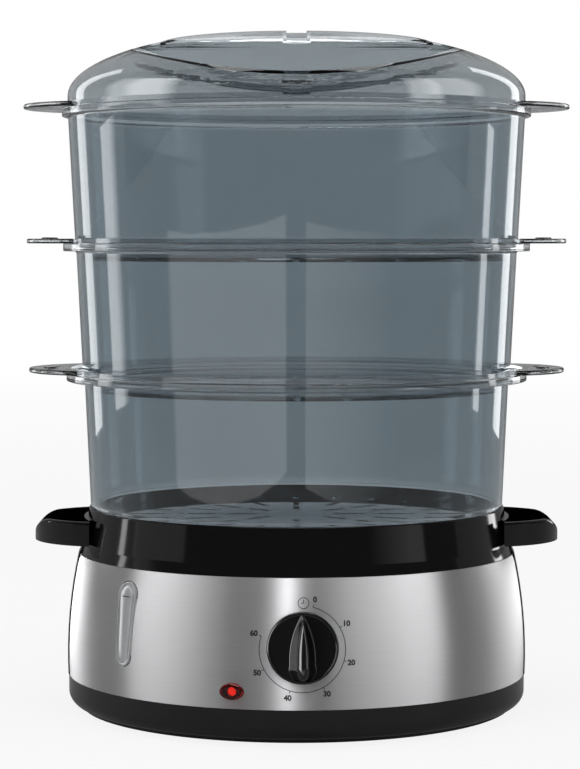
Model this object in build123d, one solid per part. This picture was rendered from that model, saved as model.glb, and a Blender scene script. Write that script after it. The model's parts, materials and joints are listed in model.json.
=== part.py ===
from build123d import *
import math
import os
from collections import namedtuple

# Electric food steamer: a round water base with a clockwork timer, a drip tray,
# three clear baskets stacked by their nesting feet, and a clear lid.
#
# Sizes are millimetres.  The model is built about the stack axis: +Z is up, the front of the base
# faces -Y, and the table is z = 0.  A bearing is an angle in plan from the front, positive towards +X.

# ------------------------------------------------------------------ base moulding
BASE_LIFT = 1.2            # bottom plate above the table
PLATE_T = 1.6              # bottom plate
HOUSING_WALL = 2.6
SKIRT_R = 125.2            # black skirt below the steel band; the other radii follow it
SKIRT_ROUND = 7.2          # rounded foot of the skirt
BAND_LOW_Z = 19.0          # steel band, lower edge
BAND_H = 66.4              # steel band, from lower to upper edge
BAND_SINK = 0.2            # lower edge inside the skirt
BAND_TAPER = 6.0           # upper edge inside the lower one
BAND_BULGE = 2.2           # how far the band swells beyond its chord
BEZEL_H = 5.6              # black bezel between the band and the reservoir moulding
BEZEL_SINK = 0.6
BEZEL_TAPER = 1.9
THROAT_LAND = 2.6          # height of the housing's top land

STEEL_T = 0.8
STEEL_HALF_ANGLE = 82.0    # the sheet wraps this far each side of the front
STEEL_FIT = 0.1
STEEL_CORNER_R = 9.0
STRIP_PROUD = 0.6          # side strips that hide the sheet's ends
STRIP_HALF_ANGLE = 8.0

# ------------------------------------------------------------------ reservoir moulding
RES_WALL = 2.4
COLLAR_H = 19.3            # collar above the bezel; its rim carries the lowest basket
COLLAR_TAPER = 2.9
COLLAR_RIM = 2.6
NECK_FIT = 0.4             # reservoir neck inside the housing throat
SHELF_DROP = 3.0           # shelf that carries the drip tray, below the band's upper edge
SHELF_W = 28.2
WELL_RISE = 17.0           # well floor above the band's lower edge
WELL_DRAFT = 1.3
WELL_CORNER_R = 5.0

HANDLE_REACH = 30.0        # side handles, which are also the filling troughs, beyond the collar
HANDLE_PLAN_R = 44.0
HANDLE_LIFT = 1.0          # underside above the bezel
HANDLE_DROP = 5.3          # top below the collar's rim
HANDLE_NOSE_X = 10.5       # the top edge curls down to the tip over this length
HANDLE_NOSE_Z = 11.5
HANDLE_EDGE_R = 1.6         # rounding of the lip and of the curl's edge
FILLER_WINDOW_W = 50.0     # slot through the collar, from trough to shelf
FILLER_WINDOW_LOW = 0.6    # sill above the trough floor
FILLER_WINDOW_H = 6.0

# ------------------------------------------------------------------ heater
HEATER_HOLE_R = 34.5
HEATER_SHEET = 1.0
HEATER_FIT = 0.3
HEATER_FLANGE = 8.5        # flange beyond the hole
HEATER_PAN = 10.0          # flat between the hole and the dome
HEATER_DOME_SLOPE = 3.0
HEATER_DOME_H = 6.0
HEATER_SKIRT_H = 6.2
SEAL_T = 1.2
CLAMP_T = 2.0
CLAMP_MARGIN = 3.0         # clamp ring beyond the flange
STUD_R = 2.0
STUD_INSET = 4.2           # studs outside the hole's edge
STUD_COUNT = 3
STUD_LENGTH = 10.6
STUD_FIT = 0.25
NUT_FLATS = 7.0
NUT_H = 3.2
ELEMENT_INSET = 4.5        # ring element inside the dome
ELEMENT_TUBE_R = 3.2
ELEMENT_LEG_R = 2.0
ELEMENT_LEG_DROP = 16.0
ELEMENT_LEG_SPREAD = 14.0  # degrees each side of the rear
THERMOSTAT_CAP_R = 8.2
THERMOSTAT_CAP_H = 4.0
THERMOSTAT_BODY_R = 7.6
THERMOSTAT_BODY_H = 8.2
THERMOSTAT_TAB = (6.3, 0.8, 8.0)
FUSE_R = 2.2
FUSE_LENGTH = 11.0

TURBO_GAP = 5.0            # ring that boils a small pool first, outside the flange
TURBO_DRAFT = 1.6
TURBO_WALL = 2.0
TURBO_H = 24.0
TURBO_NOTCH = (12.0, 4.0)
TURBO_NOTCH_COUNT = 4

# ------------------------------------------------------------------ drip tray
TRAY_WALL = 1.8
TRAY_GAP = 2.5             # tray inside the collar
TRAY_FOOT_H = 3.0
TRAY_FOOT_R = 3.0
TRAY_FOOT_COUNT = 6
TRAY_FOOT_INSET = 9.5
TRAY_RIM_H = 8.6
CHIMNEY_LOW_R = 34.0
CHIMNEY_SLOPE = 7.0
CHIMNEY_H = 13.0
CHIMNEY_SLOT = (12.0, 3.2)
CHIMNEY_SLOT_COUNT = 8
CHIMNEY_SLOT_INSET = 10.5  # middle of a slot inside the chimney's top

# ------------------------------------------------------------------ baskets and lid
EDGE_R = 0.6               # rounding of the rims' and walls' edges
BASKET_WALL = 2.0
BASKET_FLOOR_T = 2.0
FOOT_DEPTH = 7.0           # nesting foot below the shoulder
FOOT_FIT = 0.8             # nesting foot inside the mouth below, on radius
RIM_H = 6.8
RIM_STEP = 0.7             # upper part of the rim is set back by this
RIM_STEP_H = 4.3
LIP_T = 1.7
LEDGE_T = 2.0
EAR_T = 2.6
EAR_PLAN_R = 49.0
EAR_PAD = (9.0, 34.0, 0.7) # raised thumb pad: along X, along Y, height
EAR_PAD_INSET = 12.5       # pad centre from the tip
SLOT_WIDTH = 3.4
SLOT_RINGS = ((0.27, 0.15, 8), (0.5, 0.18, 16), (0.75, 0.2, 24))  # shares of the foot's radius, count

LOWER_SHOULDER = -0.8      # foot of the wall beyond the outside of what it stands on
LOWER_FLARE = 3.1          # top of the wall beyond its foot
LOWER_WALL_H = 69.0
LOWER_RIM = 9.9            # rim beyond the top of the wall
LOWER_EAR = 20.8           # ear grip beyond the rim
MIDDLE_SHOULDER = 0.9
MIDDLE_FLARE = 3.4
MIDDLE_WALL_H = 68.3
MIDDLE_RIM = 7.1
MIDDLE_EAR = 20.2
UPPER_SHOULDER = 0.4
UPPER_FLARE = 3.7
UPPER_WALL_H = 70.8
UPPER_RIM = 3.3
UPPER_EAR = 21.2

LID_WALL = 2.0
LID_SHOULDER = 0.2         # lid beyond the wall of the upper basket
LID_SKIRT_H = 9.0          # straight skirt under the dome
LID_RISE = 36.0            # height of the elliptical dome
BAR_HALF_W = 20.0          # grip bar left between the two finger scoops
BAR_CROWN = 7.1            # crest of the bar above its side edges
BAR_DRAFT = 12.0           # degrees
SCOOP_FLOOR_RISE = 6.4     # scoop floor above the top of the skirt
SCOOP_FLOOR_R = 250.0
SCOOP_FILLET = 8.0
CHANNEL_W = 11.0           # steam channel over the bar, from scoop to scoop
CHANNEL_DEPTH = 1.2
CHANNEL_REACH = 62.0       # how far the channel runs each side of the bar's middle
VENT_W = 6.0               # steam vent in the channel, at the foot of each scoop
VENT_L = 3.4
VENT_Y = 46.0

# ------------------------------------------------------------------ control panel
KNOB_X = 2.7
KNOB_RISE = 32.0           # knob, lamp and gland above the band's lower edge
KNOB_R = 18.2
KNOB_GAP = 1.2
KNOB_T = 5.0
KNOB_RIM = 1.3
KNOB_DISH = 0.8
KNOB_SHELL = 2.2
KNOB_EDGE_R = 1.0
GRIP_TOP = 16.4            # grip, from the knob's centre to its pointed end
GRIP_BOTTOM = 16.8
GRIP_HALF_W = 6.1
GRIP_SHOULDER = 8.5        # widest place, below the centre
GRIP_WAIST = 5.0
GRIP_H = 10.5
GRIP_CREST_W = 0.42        # crest outline as a share of the foot outline
GRIP_CREST_L = 0.9
HUB_R = 5.4

SPINDLE_R = 3.0
SPINDLE_FLAT = 2.2
SPINDLE_RUNNING_FIT = 0.05
SPINDLE_END_PLAY = 1.2
SPINDLE_REACH = 10.5       # in front of the steel
SPINDLE_HOLE_FIT = 3.0     # hole through housing and steel
TIMER_SET_BACK = 9.0
TIMER_R = 18.0
TIMER_DEPTH = 19.0
TIMER_PLATE = (55.0, 15.0, 1.2)
TIMER_END_WALL = 1.2
TIMER_NOSE_R = 5.0
TIMER_NOSE_H = 3.6
TIMER_SCREW_X = 23.0
TIMER_BOSS_R = 3.8
TIMER_SCREW_R = 1.5
TIMER_SCREW_HEAD = (2.8, 1.8)
TIMER_SCREW_BITE = 4.0
BELL_R = 14.0
BELL_T = 0.8
BELL_DEPTH = 5.0
BELL_POST_R = 2.5
BELL_GAP = 0.6

LAMP_BEARING = -15.25
LAMP_RISE = 9.0
LAMP_LENS = (6.5, 4.25)    # half axes of the oval lens
LAMP_STEM = (5.0, 3.0)
LAMP_PROUD = 2.0
LAMP_HOLE_FIT = 0.2
LAMP_GRIP = 1.8            # how far the stem runs into its holder
LAMP_GRIP_FIT = 0.1
LAMP_HOLDER = (15.0, 10.0, 12.0)
LAMP_HOLDER_GAP = 0.4      # holder to the curved wall
NEON_R = 2.2
NEON_LENGTH = 13.0
NEON_FIT = 0.15

GAUGE_BEARING = -46.0
GAUGE_RISE = 21.8          # centre of the window's lower round end above the band's lower edge
GAUGE_DROP = 13.4          # centre of its upper round end below the band's upper edge
GAUGE_LOW_R = 5.0
GAUGE_TOP_R = 6.6
GAUGE_PROUD = 1.3
GAUGE_FLANGE = 1.5         # window flange beyond its opening
GAUGE_PANE_T = 1.4
GAUGE_FIT = 0.15
GASKET_T = 1.6
GAUGE_ARM_W = 15.6
GAUGE_ARM_WALL = 2.2

GLAND_BEARING = 180.0
GLAND_RISE = 9.0
GLAND_BORE_R = 3.6
GLAND_NECK = (11.6, 10.0, 3.0)  # keyed neck that can't turn: width, height, corner radius
GLAND_FLANGE_R = 8.0
GLAND_FLANGE_T = 1.8
GLAND_TAIL = 6.0
GLAND_TAIL_R = 5.8
GLAND_SEAT_GAP = 0.5       # inner flange to the curved wall

# ------------------------------------------------------------------ underside
PLATE_FIT = 0.3
PLATE_RIM_H = 2.8
PLATE_RIM_T = 2.4
PLATE_SPIGOT_INSET = 2.8   # locating rim inside the plate's edge
VENT_SLOT = (16.0, 3.0)
VENT_SLOT_COUNT = 10
VENT_SLOT_PITCH_R = 62.0
RUBBER_FOOT_R = 8.0
RUBBER_STEM_R = 3.0
RUBBER_HEAD = (4.4, 1.4)
RUBBER_INSET = 20.0        # middle of a foot inside the plate's edge
RUBBER_BEARINGS = (45.0, 135.0, 225.0, 315.0)
BOSS_R = 5.0
BOSS_INSET = 19.0
BOSS_BEARINGS = (70.0, 150.0, 210.0, 290.0)
BOSS_PAD_H = 2.4
SCREW_R = 2.0
SCREW_LENGTH = 14.0
SCREW_HEAD = (3.8, 2.2)
SCREW_SINK = 2.5
SCREW_FIT = 0.05
TERMINAL_BLOCK = (32.0, 15.0, 12.0)
TERMINAL_Y = 66.0
TERMINAL_PITCH = 9.5
TERMINAL_WELL_R = 2.6
TERMINAL_WELL_DEPTH = 6.0
TERMINAL_SCREW_H = 3.0
TERMINAL_SCREW_FIT = 0.1

# ------------------------------------------------------------------ sizes that follow from those above
PLATE_LOW_Z = BASE_LIFT
PLATE_TOP_Z = PLATE_LOW_Z + PLATE_T
SKIRT_FOOT_R = SKIRT_R - SKIRT_ROUND
BAND_LOW_R = SKIRT_R - BAND_SINK
BAND_TOP_R = BAND_LOW_R - BAND_TAPER
BAND_TOP_Z = BAND_LOW_Z + BAND_H
BEZEL_LOW_R = BAND_TOP_R - BEZEL_SINK
SEAM_R = BEZEL_LOW_R - BEZEL_TAPER
SEAM_Z = BAND_TOP_Z + BEZEL_H
THROAT_R = SEAM_R - HOUSING_WALL
NECK_R = THROAT_R - NECK_FIT
COLLAR_TOP_R = SEAM_R - COLLAR_TAPER
COLLAR_BORE_R = COLLAR_TOP_R - COLLAR_RIM
COLLAR_TOP_Z = SEAM_Z + COLLAR_H
SHELF_Z = BAND_TOP_Z - SHELF_DROP
WELL_FLOOR_Z = BAND_LOW_Z + WELL_RISE
WELL_TOP_R = COLLAR_BORE_R - SHELF_W
WELL_FLOOR_R = WELL_TOP_R - WELL_DRAFT
HANDLE_TIP = COLLAR_TOP_R + HANDLE_REACH
HANDLE_LOW_Z = SEAM_Z + HANDLE_LIFT
HANDLE_TOP_Z = COLLAR_TOP_Z - HANDLE_DROP
SHELF_UNDER_Z = SHELF_Z - RES_WALL
WELL_UNDER_Z = WELL_FLOOR_Z - RES_WALL
SHELL_T = STEEL_T + HOUSING_WALL
PLATE_SPIGOT_R = SKIRT_FOOT_R - PLATE_SPIGOT_INSET
PLATE_STEP_R = PLATE_SPIGOT_R + PLATE_FIT
RUBBER_PITCH_R = SKIRT_FOOT_R - RUBBER_INSET
BOSS_PITCH_R = SKIRT_FOOT_R - BOSS_INSET
HEATER_FLANGE_R = HEATER_HOLE_R + HEATER_FLANGE
HEATER_DOME_FOOT_R = HEATER_HOLE_R - HEATER_PAN
HEATER_DOME_R = HEATER_DOME_FOOT_R - HEATER_DOME_SLOPE
CLAMP_R = HEATER_FLANGE_R + CLAMP_MARGIN
STUD_PITCH_R = HEATER_HOLE_R + STUD_INSET
ELEMENT_R = HEATER_DOME_R - ELEMENT_INSET
TURBO_R = HEATER_FLANGE_R + TURBO_GAP
TURBO_TOP_R = TURBO_R - TURBO_DRAFT
SEAL_TOP_Z = WELL_FLOOR_Z + SEAL_T
CLAMP_LOW_Z = WELL_UNDER_Z - CLAMP_T
DOME_UNDER_Z = SEAL_TOP_Z + HEATER_DOME_H
TRAY_R = COLLAR_BORE_R - TRAY_GAP
TRAY_FOOT_PITCH_R = TRAY_R - TRAY_FOOT_INSET
TRAY_FLOOR_Z = SHELF_Z + TRAY_FOOT_H
CHIMNEY_TOP_R = CHIMNEY_LOW_R - CHIMNEY_SLOPE
CHIMNEY_SLOT_PITCH_R = CHIMNEY_TOP_R - CHIMNEY_SLOT_INSET
TROUGH_FLOOR_Z = HANDLE_LOW_Z + RES_WALL
KNOB_Z = BAND_LOW_Z + KNOB_RISE
LAMP_Z = BAND_LOW_Z + LAMP_RISE
GAUGE_LOW_Z = BAND_LOW_Z + GAUGE_RISE
GAUGE_TOP_Z = BAND_TOP_Z - GAUGE_DROP
GLAND_Z = BAND_LOW_Z + GLAND_RISE
LAMP_TAIL = SHELL_T + LAMP_HOLDER_GAP + LAMP_GRIP

BasketSize = namedtuple("BasketSize", "name foot_r top_r wall_h rim_r ear_tip")


def basket_size(name, foot_r, flare, wall_h, rim, ear):
    """Sizes of a basket from those that are stepped out from one another."""
    top_r = foot_r + flare
    return BasketSize(name, foot_r, top_r, wall_h, top_r + rim, top_r + rim + ear)


LOWER = basket_size(
    "basket_lower", COLLAR_TOP_R + LOWER_SHOULDER, LOWER_FLARE, LOWER_WALL_H, LOWER_RIM, LOWER_EAR
)
MIDDLE = basket_size(
    "basket_middle", LOWER.top_r + MIDDLE_SHOULDER, MIDDLE_FLARE, MIDDLE_WALL_H, MIDDLE_RIM, MIDDLE_EAR
)
UPPER = basket_size(
    "basket_upper", MIDDLE.top_r + UPPER_SHOULDER, UPPER_FLARE, UPPER_WALL_H, UPPER_RIM, UPPER_EAR
)
BASKET_SIZES = (LOWER, MIDDLE, UPPER)
LID_R = UPPER.top_r + LID_SHOULDER

Band = namedtuple("Band", "centre_r centre_z radius")


def band_circle():
    """Circle, in the R-Z half plane, that the steel band's outer face follows."""
    run_r = BAND_TOP_R - BAND_LOW_R
    run_z = BAND_TOP_Z - BAND_LOW_Z
    chord = math.hypot(run_r, run_z)
    radius = (chord**2 / 4 + BAND_BULGE**2) / (2 * BAND_BULGE)
    inset = radius - BAND_BULGE
    centre_r = (BAND_LOW_R + BAND_TOP_R) / 2 - inset * run_z / chord
    centre_z = (BAND_LOW_Z + BAND_TOP_Z) / 2 + inset * run_r / chord
    return Band(centre_r, centre_z, radius)


BAND = band_circle()


def band_r(z, offset=0.0):
    """Radius of the band's face at a height, moved outward by offset along its normal."""
    return BAND.centre_r + math.sqrt((BAND.radius + offset) ** 2 - (z - BAND.centre_z) ** 2)


def band_arc(z_from, z_to, offset=0.0):
    """Stretch of the band's outline between two heights, in the XZ plane."""
    z_mid = (z_from + z_to) / 2
    return ThreePointArc(
        (band_r(z_from, offset), z_from), (band_r(z_mid, offset), z_mid), (band_r(z_to, offset), z_to)
    )


def panel(bearing, z):
    """Frame on the band's outer face: x to the right, y up the band, z straight out of it."""
    lean = math.asin((z - BAND.centre_z) / BAND.radius)
    face = Plane(
        origin=(0, -band_r(z), z), x_dir=(1, 0, 0), z_dir=(0, -math.cos(lean), math.sin(lean))
    )
    return Rot(0, 0, bearing) * face.location


def revolved(edges, arc=360.0, bearing=0.0):
    """Revolve a closed R-Z outline about the stack axis, as a sector centred on a bearing."""
    face = Plane.XZ * make_face(edges)
    start = bearing - 90.0 - arc / 2
    return Rot(0, 0, start) * revolve(face, Axis.Z, arc)


def turned(*points, rounds=()):
    """Full turn of a straight-sided R-Z outline; rounds lists corners to round, with their radii."""
    face = make_face(Polyline(*points, close=True))
    for corner, radius in rounds:
        face = fillet(face.vertices().sort_by_distance(corner)[0], radius)
    return revolve(Plane.XZ * face, Axis.Z)


def tube(outer_r, inner_r, z_low, z_high):
    """Plain ring about the stack axis."""
    return turned((inner_r, z_low), (outer_r, z_low), (outer_r, z_high), (inner_r, z_high))


def post(radius, z_low, z_high):
    """Upright cylinder between two heights."""
    return Pos(0, 0, z_low) * Cylinder(
        radius, z_high - z_low, align=(Align.CENTER, Align.CENTER, Align.MIN)
    )


def block(length, width, z_low, z_high):
    """Upright box between two heights, centred in plan."""
    return Pos(0, 0, z_low) * Box(
        length, width, z_high - z_low, align=(Align.CENTER, Align.CENTER, Align.MIN)
    )


def around(shape, radius, bearings):
    """Copies of a shape made at the origin, carried to a pitch radius at each bearing."""
    return [Rot(0, 0, bearing) * Pos(0, -radius, 0) * shape for bearing in bearings]


def evenly(count):
    """Evenly spaced bearings, the first at the front."""
    return [360.0 * i / count for i in range(count)]


def radial_slots(pitch_r, length, width, count, z_low, z_high):
    """Straight slots that point at the stack axis."""
    return around(block(width, length, z_low, z_high), pitch_r, evenly(count))


# ------------------------------------------------------------------ base: housing and steel band


def housing_wall():
    """Skirt, wall behind the band, and the collar above it, as one revolved section."""
    foot_z = PLATE_TOP_Z
    round_z = foot_z + SKIRT_ROUND
    turn = SKIRT_ROUND * math.sqrt(0.5)
    throat_z = SEAM_Z - THROAT_LAND
    band_z = throat_z - HOUSING_WALL
    outline = [
        ThreePointArc(
            (SKIRT_FOOT_R, foot_z), (SKIRT_FOOT_R + turn, round_z - turn), (SKIRT_R, round_z)
        ),
        Polyline((SKIRT_R, round_z), (SKIRT_R, BAND_LOW_Z), (BAND_LOW_R, BAND_LOW_Z)),
        band_arc(BAND_LOW_Z, BAND_TOP_Z),
        Polyline(
            (BAND_TOP_R, BAND_TOP_Z),
            (BEZEL_LOW_R, BAND_TOP_Z),
            (SEAM_R, SEAM_Z),
            (THROAT_R, SEAM_Z),
            (THROAT_R, throat_z),
            (band_r(band_z, -SHELL_T), band_z),
        ),
        band_arc(band_z, BAND_LOW_Z, -SHELL_T),
        Polyline(
            (band_r(BAND_LOW_Z, -SHELL_T), BAND_LOW_Z),
            (SKIRT_R - HOUSING_WALL, round_z),
            (PLATE_STEP_R, foot_z + PLATE_RIM_H + PLATE_FIT),
            (PLATE_STEP_R, foot_z),
            (SKIRT_FOOT_R, foot_z),
        ),
    ]
    return revolved(outline)


def band_sheet(fit, thickness=STEEL_T):
    """Rolled sheet in the band's recess, with rounded upper corners, smaller by fit all round."""
    low, top = BAND_LOW_Z + fit, BAND_TOP_Z - fit
    outline = [
        band_arc(low, top),
        Line((band_r(top), top), (band_r(top, -thickness), top)),
        band_arc(top, low, -thickness),
        Line((band_r(low, -thickness), low), (band_r(low), low)),
    ]
    trim = math.degrees(fit / BAND_TOP_R)
    sheet = revolved(outline, 2 * (STEEL_HALF_ANGLE - trim))
    for side in (-1, 1):
        sheet -= corner_round(side, STEEL_CORNER_R, fit)
    return sheet


def corner_round(side, radius, fit):
    """Waste outside the rounded upper corner at one end of the sheet."""
    depth = 4 * radius
    corner = Pos(-side * radius / 2, radius / 2, 0) * Box(radius, radius, depth)
    keep = Pos(-side * radius, 0, 0) * Cylinder(radius - fit, depth)
    return panel(side * STEEL_HALF_ANGLE, BAND_TOP_Z - radius) * (corner - keep)


def side_strips():
    """Proud ribs that hide the ends of the sheet and run up under the handles."""
    outline = [
        band_arc(BAND_LOW_Z, BAND_TOP_Z, STRIP_PROUD),
        Polyline(
            (band_r(BAND_TOP_Z, STRIP_PROUD), BAND_TOP_Z),
            (SEAM_R + STRIP_PROUD, SEAM_Z),
            (THROAT_R, SEAM_Z),
            (THROAT_R, BAND_TOP_Z),
            (band_r(BAND_TOP_Z, -SHELL_T), BAND_TOP_Z),
        ),
        band_arc(BAND_TOP_Z, BAND_LOW_Z, -SHELL_T),
        Line((band_r(BAND_LOW_Z, -SHELL_T), BAND_LOW_Z), (band_r(BAND_LOW_Z, STRIP_PROUD), BAND_LOW_Z)),
    ]
    return [revolved(outline, 2 * STRIP_HALF_ANGLE, bearing) for bearing in (-90.0, 90.0)]


def oval_prism(half_x, half_y, z_low, z_high):
    """Elliptical prism in a panel's own frame."""
    return extrude(Pos(0, 0, z_low) * Ellipse(half_x, half_y), z_high - z_low)


def gauge_outline(grow=0.0):
    """Tapered slot of the water gauge, in its panel's frame, grown by a margin."""
    middle = (GAUGE_LOW_Z + GAUGE_TOP_Z) / 2
    low = Pos(0, GAUGE_LOW_Z - middle) * Circle(GAUGE_LOW_R + grow)
    top = Pos(0, GAUGE_TOP_Z - middle) * Circle(GAUGE_TOP_R + grow)
    return make_hull((low + top).edges())


def gauge_prism(grow, z_low, z_high):
    """Prism of the gauge outline through the wall at the gauge's place."""
    middle = (GAUGE_LOW_Z + GAUGE_TOP_Z) / 2
    prism = extrude(Pos(0, 0, z_low) * gauge_outline(grow), z_high - z_low)
    return panel(GAUGE_BEARING, middle) * prism


def band_core(offset):
    """Solid inside the band's face moved by offset; it trims what must follow that face."""
    low, top = PLATE_TOP_Z, SEAM_Z
    outline = [
        band_arc(low, top, offset),
        Polyline((band_r(top, offset), top), (0, top), (0, low), (band_r(low, offset), low)),
    ]
    return revolved(outline)


def knob_panel():
    """Frame of the timer and its knob."""
    bearing = math.degrees(math.asin(KNOB_X / band_r(KNOB_Z)))
    return panel(bearing, KNOB_Z)


def panel_holes():
    """Openings that go through both the sheet and the housing wall."""
    reach = 2 * SHELL_T
    spindle = knob_panel() * Cylinder(SPINDLE_R + SPINDLE_HOLE_FIT, 2 * reach)
    stem_x, stem_y = (half + LAMP_HOLE_FIT for half in LAMP_STEM)
    lamp = panel(LAMP_BEARING, LAMP_Z) * oval_prism(stem_x, stem_y, -reach, reach)
    return [spindle, lamp, gauge_prism(GAUGE_FIT, -reach, reach)]


def base_housing():
    """Black shell of the base, recessed for the steel band, with its timer bosses."""
    shell = housing_wall() + side_strips()
    shell -= band_sheet(0.0)
    boss_top = -TIMER_SET_BACK
    seat = knob_panel()
    for x in (-TIMER_SCREW_X, TIMER_SCREW_X):
        boss = Pos(x, 0, 0) * post(TIMER_BOSS_R, boss_top, -STEEL_T)
        shell += (seat * boss) & band_core(-STEEL_T)
        pilot = post(TIMER_SCREW_R, boss_top, boss_top + TIMER_SCREW_BITE)
        shell -= seat * Pos(x, 0, 0) * pilot
    shell -= panel_holes()
    return shell - panel(GLAND_BEARING, GLAND_Z) * gland_neck(-2 * SHELL_T, 2 * SHELL_T)


def steel_front_panel():
    """Brushed sheet round the front of the base, pierced for the knob, the lamp and the gauge."""
    return band_sheet(STEEL_FIT) - panel_holes()


# ------------------------------------------------------------------ base: reservoir


def handle_profile(wall=0.0):
    """Side view of a handle in the XZ plane; a wall thickness gives the trough's inside."""
    tip, low, top = HANDLE_TIP - wall, HANDLE_LOW_Z + wall, HANDLE_TOP_Z
    root = COLLAR_BORE_R
    nose_x = tip - HANDLE_NOSE_X
    nose_z = top - HANDLE_NOSE_Z
    if wall:
        return Polyline((root, low), (tip, low), (tip, top + wall), (root, top + wall), close=True)
    mid_x = nose_x + HANDLE_NOSE_X * math.sqrt(0.5)
    mid_z = nose_z + HANDLE_NOSE_Z * math.sqrt(0.5)
    return [
        Polyline((nose_x, top), (root, top), (root, low), (tip, low), (tip, nose_z)),
        ThreePointArc((tip, nose_z), (mid_x, mid_z), (nose_x, top)),
    ]


def handle_form(wall=0.0):
    """Right-hand handle, or with a wall thickness the water space inside it."""
    side = extrude(Plane.XZ * make_face(handle_profile(wall)), HANDLE_PLAN_R, both=True)
    plan_x = HANDLE_TIP - HANDLE_PLAN_R
    plan = Pos(plan_x, 0, 0) * post(HANDLE_PLAN_R - wall, HANDLE_LOW_Z, HANDLE_TOP_Z + RES_WALL)
    return side & plan


def handle():
    """Hollow handle, open at the top, with a rounded lip, whose trough feeds the reservoir."""
    form = handle_form()
    upper = form.edges().filter_by(lambda edge: edge.bounding_box().min.Z > HANDLE_TOP_Z - HANDLE_NOSE_Z * 0.6)
    form = fillet(upper.filter_by(lambda edge: edge.bounding_box().max.X > COLLAR_TOP_R), HANDLE_EDGE_R)
    collar = post(COLLAR_BORE_R + RES_WALL / 2, HANDLE_LOW_Z, COLLAR_TOP_Z)
    ring = post(SEAM_R, HANDLE_LOW_Z, COLLAR_TOP_Z)
    return (form - collar) - (handle_form(RES_WALL) - ring)


def filler_window():
    """Slot through the collar wall at the foot of the trough."""
    low = TROUGH_FLOOR_Z + FILLER_WINDOW_LOW
    length = 4 * RES_WALL + SEAM_R - COLLAR_BORE_R
    slot = block(length, FILLER_WINDOW_W, low, low + FILLER_WINDOW_H)
    return Pos((SEAM_R + COLLAR_BORE_R) / 2, 0, 0) * slot


def gauge_arm(wall=0.0):
    """Arm from the well to the gauge window; a wall thickness gives the water way inside it."""
    low = WELL_UNDER_Z + wall
    top = SHELF_UNDER_Z + (RES_WALL if not wall else -wall)
    reach = BAND_LOW_R
    inner = WELL_FLOOR_R - RES_WALL
    arm = block(GAUGE_ARM_W - 2 * wall, reach - inner, low, top)
    arm = Rot(0, 0, GAUGE_BEARING) * Pos(0, -(reach + inner) / 2, 0) * arm
    return arm & band_core(-SHELL_T - GASKET_T)


def boss_post():
    """Screw boss from the shelf down to the bottom plate's pad."""
    foot_z = PLATE_TOP_Z + BOSS_PAD_H
    return post(BOSS_R, foot_z, SHELF_UNDER_Z) - post(SCREW_R + SCREW_FIT, foot_z, foot_z + SCREW_LENGTH)


def reservoir():
    """Water bowl with its collar, shelf, well, gauge arm, screw bosses and trough handles."""
    under_r = WELL_FLOOR_R + RES_WALL
    bowl = turned(
        (COLLAR_BORE_R, COLLAR_TOP_Z),
        (COLLAR_TOP_R, COLLAR_TOP_Z),
        (SEAM_R, SEAM_Z),
        (NECK_R, SEAM_Z),
        (NECK_R, SHELF_UNDER_Z),
        (WELL_TOP_R + RES_WALL, SHELF_UNDER_Z),
        (under_r, WELL_UNDER_Z),
        (HEATER_HOLE_R, WELL_UNDER_Z),
        (HEATER_HOLE_R, WELL_FLOOR_Z),
        (WELL_FLOOR_R - WELL_CORNER_R, WELL_FLOOR_Z),
        (WELL_FLOOR_R, WELL_FLOOR_Z + WELL_CORNER_R),
        (WELL_TOP_R, SHELF_Z),
        (COLLAR_BORE_R, SHELF_Z),
        rounds=(((COLLAR_TOP_R, COLLAR_TOP_Z), EDGE_R), ((WELL_TOP_R, SHELF_Z), RES_WALL / 2)),
    )
    well = post(WELL_FLOOR_R, WELL_FLOOR_Z + WELL_CORNER_R, SHELF_Z)
    bowl += gauge_arm() - well - post(WELL_FLOOR_R - WELL_CORNER_R, WELL_FLOOR_Z, SHELF_Z)
    bowl += around(boss_post(), BOSS_PITCH_R, BOSS_BEARINGS)
    right = handle()
    bowl += [right, mirror(right, Plane.YZ)]
    bowl -= [filler_window(), mirror(filler_window(), Plane.YZ)]
    bowl -= gauge_arm(GAUGE_ARM_WALL)
    studs = post(STUD_R + STUD_FIT, WELL_UNDER_Z, WELL_FLOOR_Z)
    return bowl - around(studs, STUD_PITCH_R, evenly(STUD_COUNT))


# ------------------------------------------------------------------ base: heater group


def heater_plate():
    """Pressed steel heating plate with its three fixing studs."""
    low, high = SEAL_TOP_Z, SEAL_TOP_Z + HEATER_SHEET
    skirt_r = HEATER_HOLE_R - HEATER_FIT
    skirt_z = low - HEATER_SKIRT_H
    dome = DOME_UNDER_Z + HEATER_SHEET
    plate = turned(
        (0, dome),
        (HEATER_DOME_R, dome),
        (HEATER_DOME_FOOT_R, high),
        (HEATER_FLANGE_R, high),
        (HEATER_FLANGE_R, low),
        (skirt_r, low),
        (skirt_r, skirt_z),
        (skirt_r - HEATER_SHEET, skirt_z),
        (skirt_r - HEATER_SHEET, low),
        (HEATER_DOME_FOOT_R - HEATER_SHEET, low),
        (HEATER_DOME_R - HEATER_SHEET, DOME_UNDER_Z),
        (0, DOME_UNDER_Z),
    )
    return plate + around(post(STUD_R, low - STUD_LENGTH, low), STUD_PITCH_R, evenly(STUD_COUNT))


def stud_ring(outer_r, z_low, z_high):
    """Flat ring round the heater hole, drilled for the studs."""
    ring = tube(outer_r, HEATER_HOLE_R + HEATER_FIT, z_low, z_high)
    hole = post(STUD_R + STUD_FIT, z_low, z_high)
    return ring - around(hole, STUD_PITCH_R, evenly(STUD_COUNT))


def heater_seal():
    """Silicone ring between the plate's flange and the well floor."""
    return stud_ring(HEATER_FLANGE_R, WELL_FLOOR_Z, SEAL_TOP_Z)


def heater_clamp_ring():
    """Steel ring that the nuts pull up against the underside of the well."""
    return stud_ring(CLAMP_R, CLAMP_LOW_Z, WELL_UNDER_Z)


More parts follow.
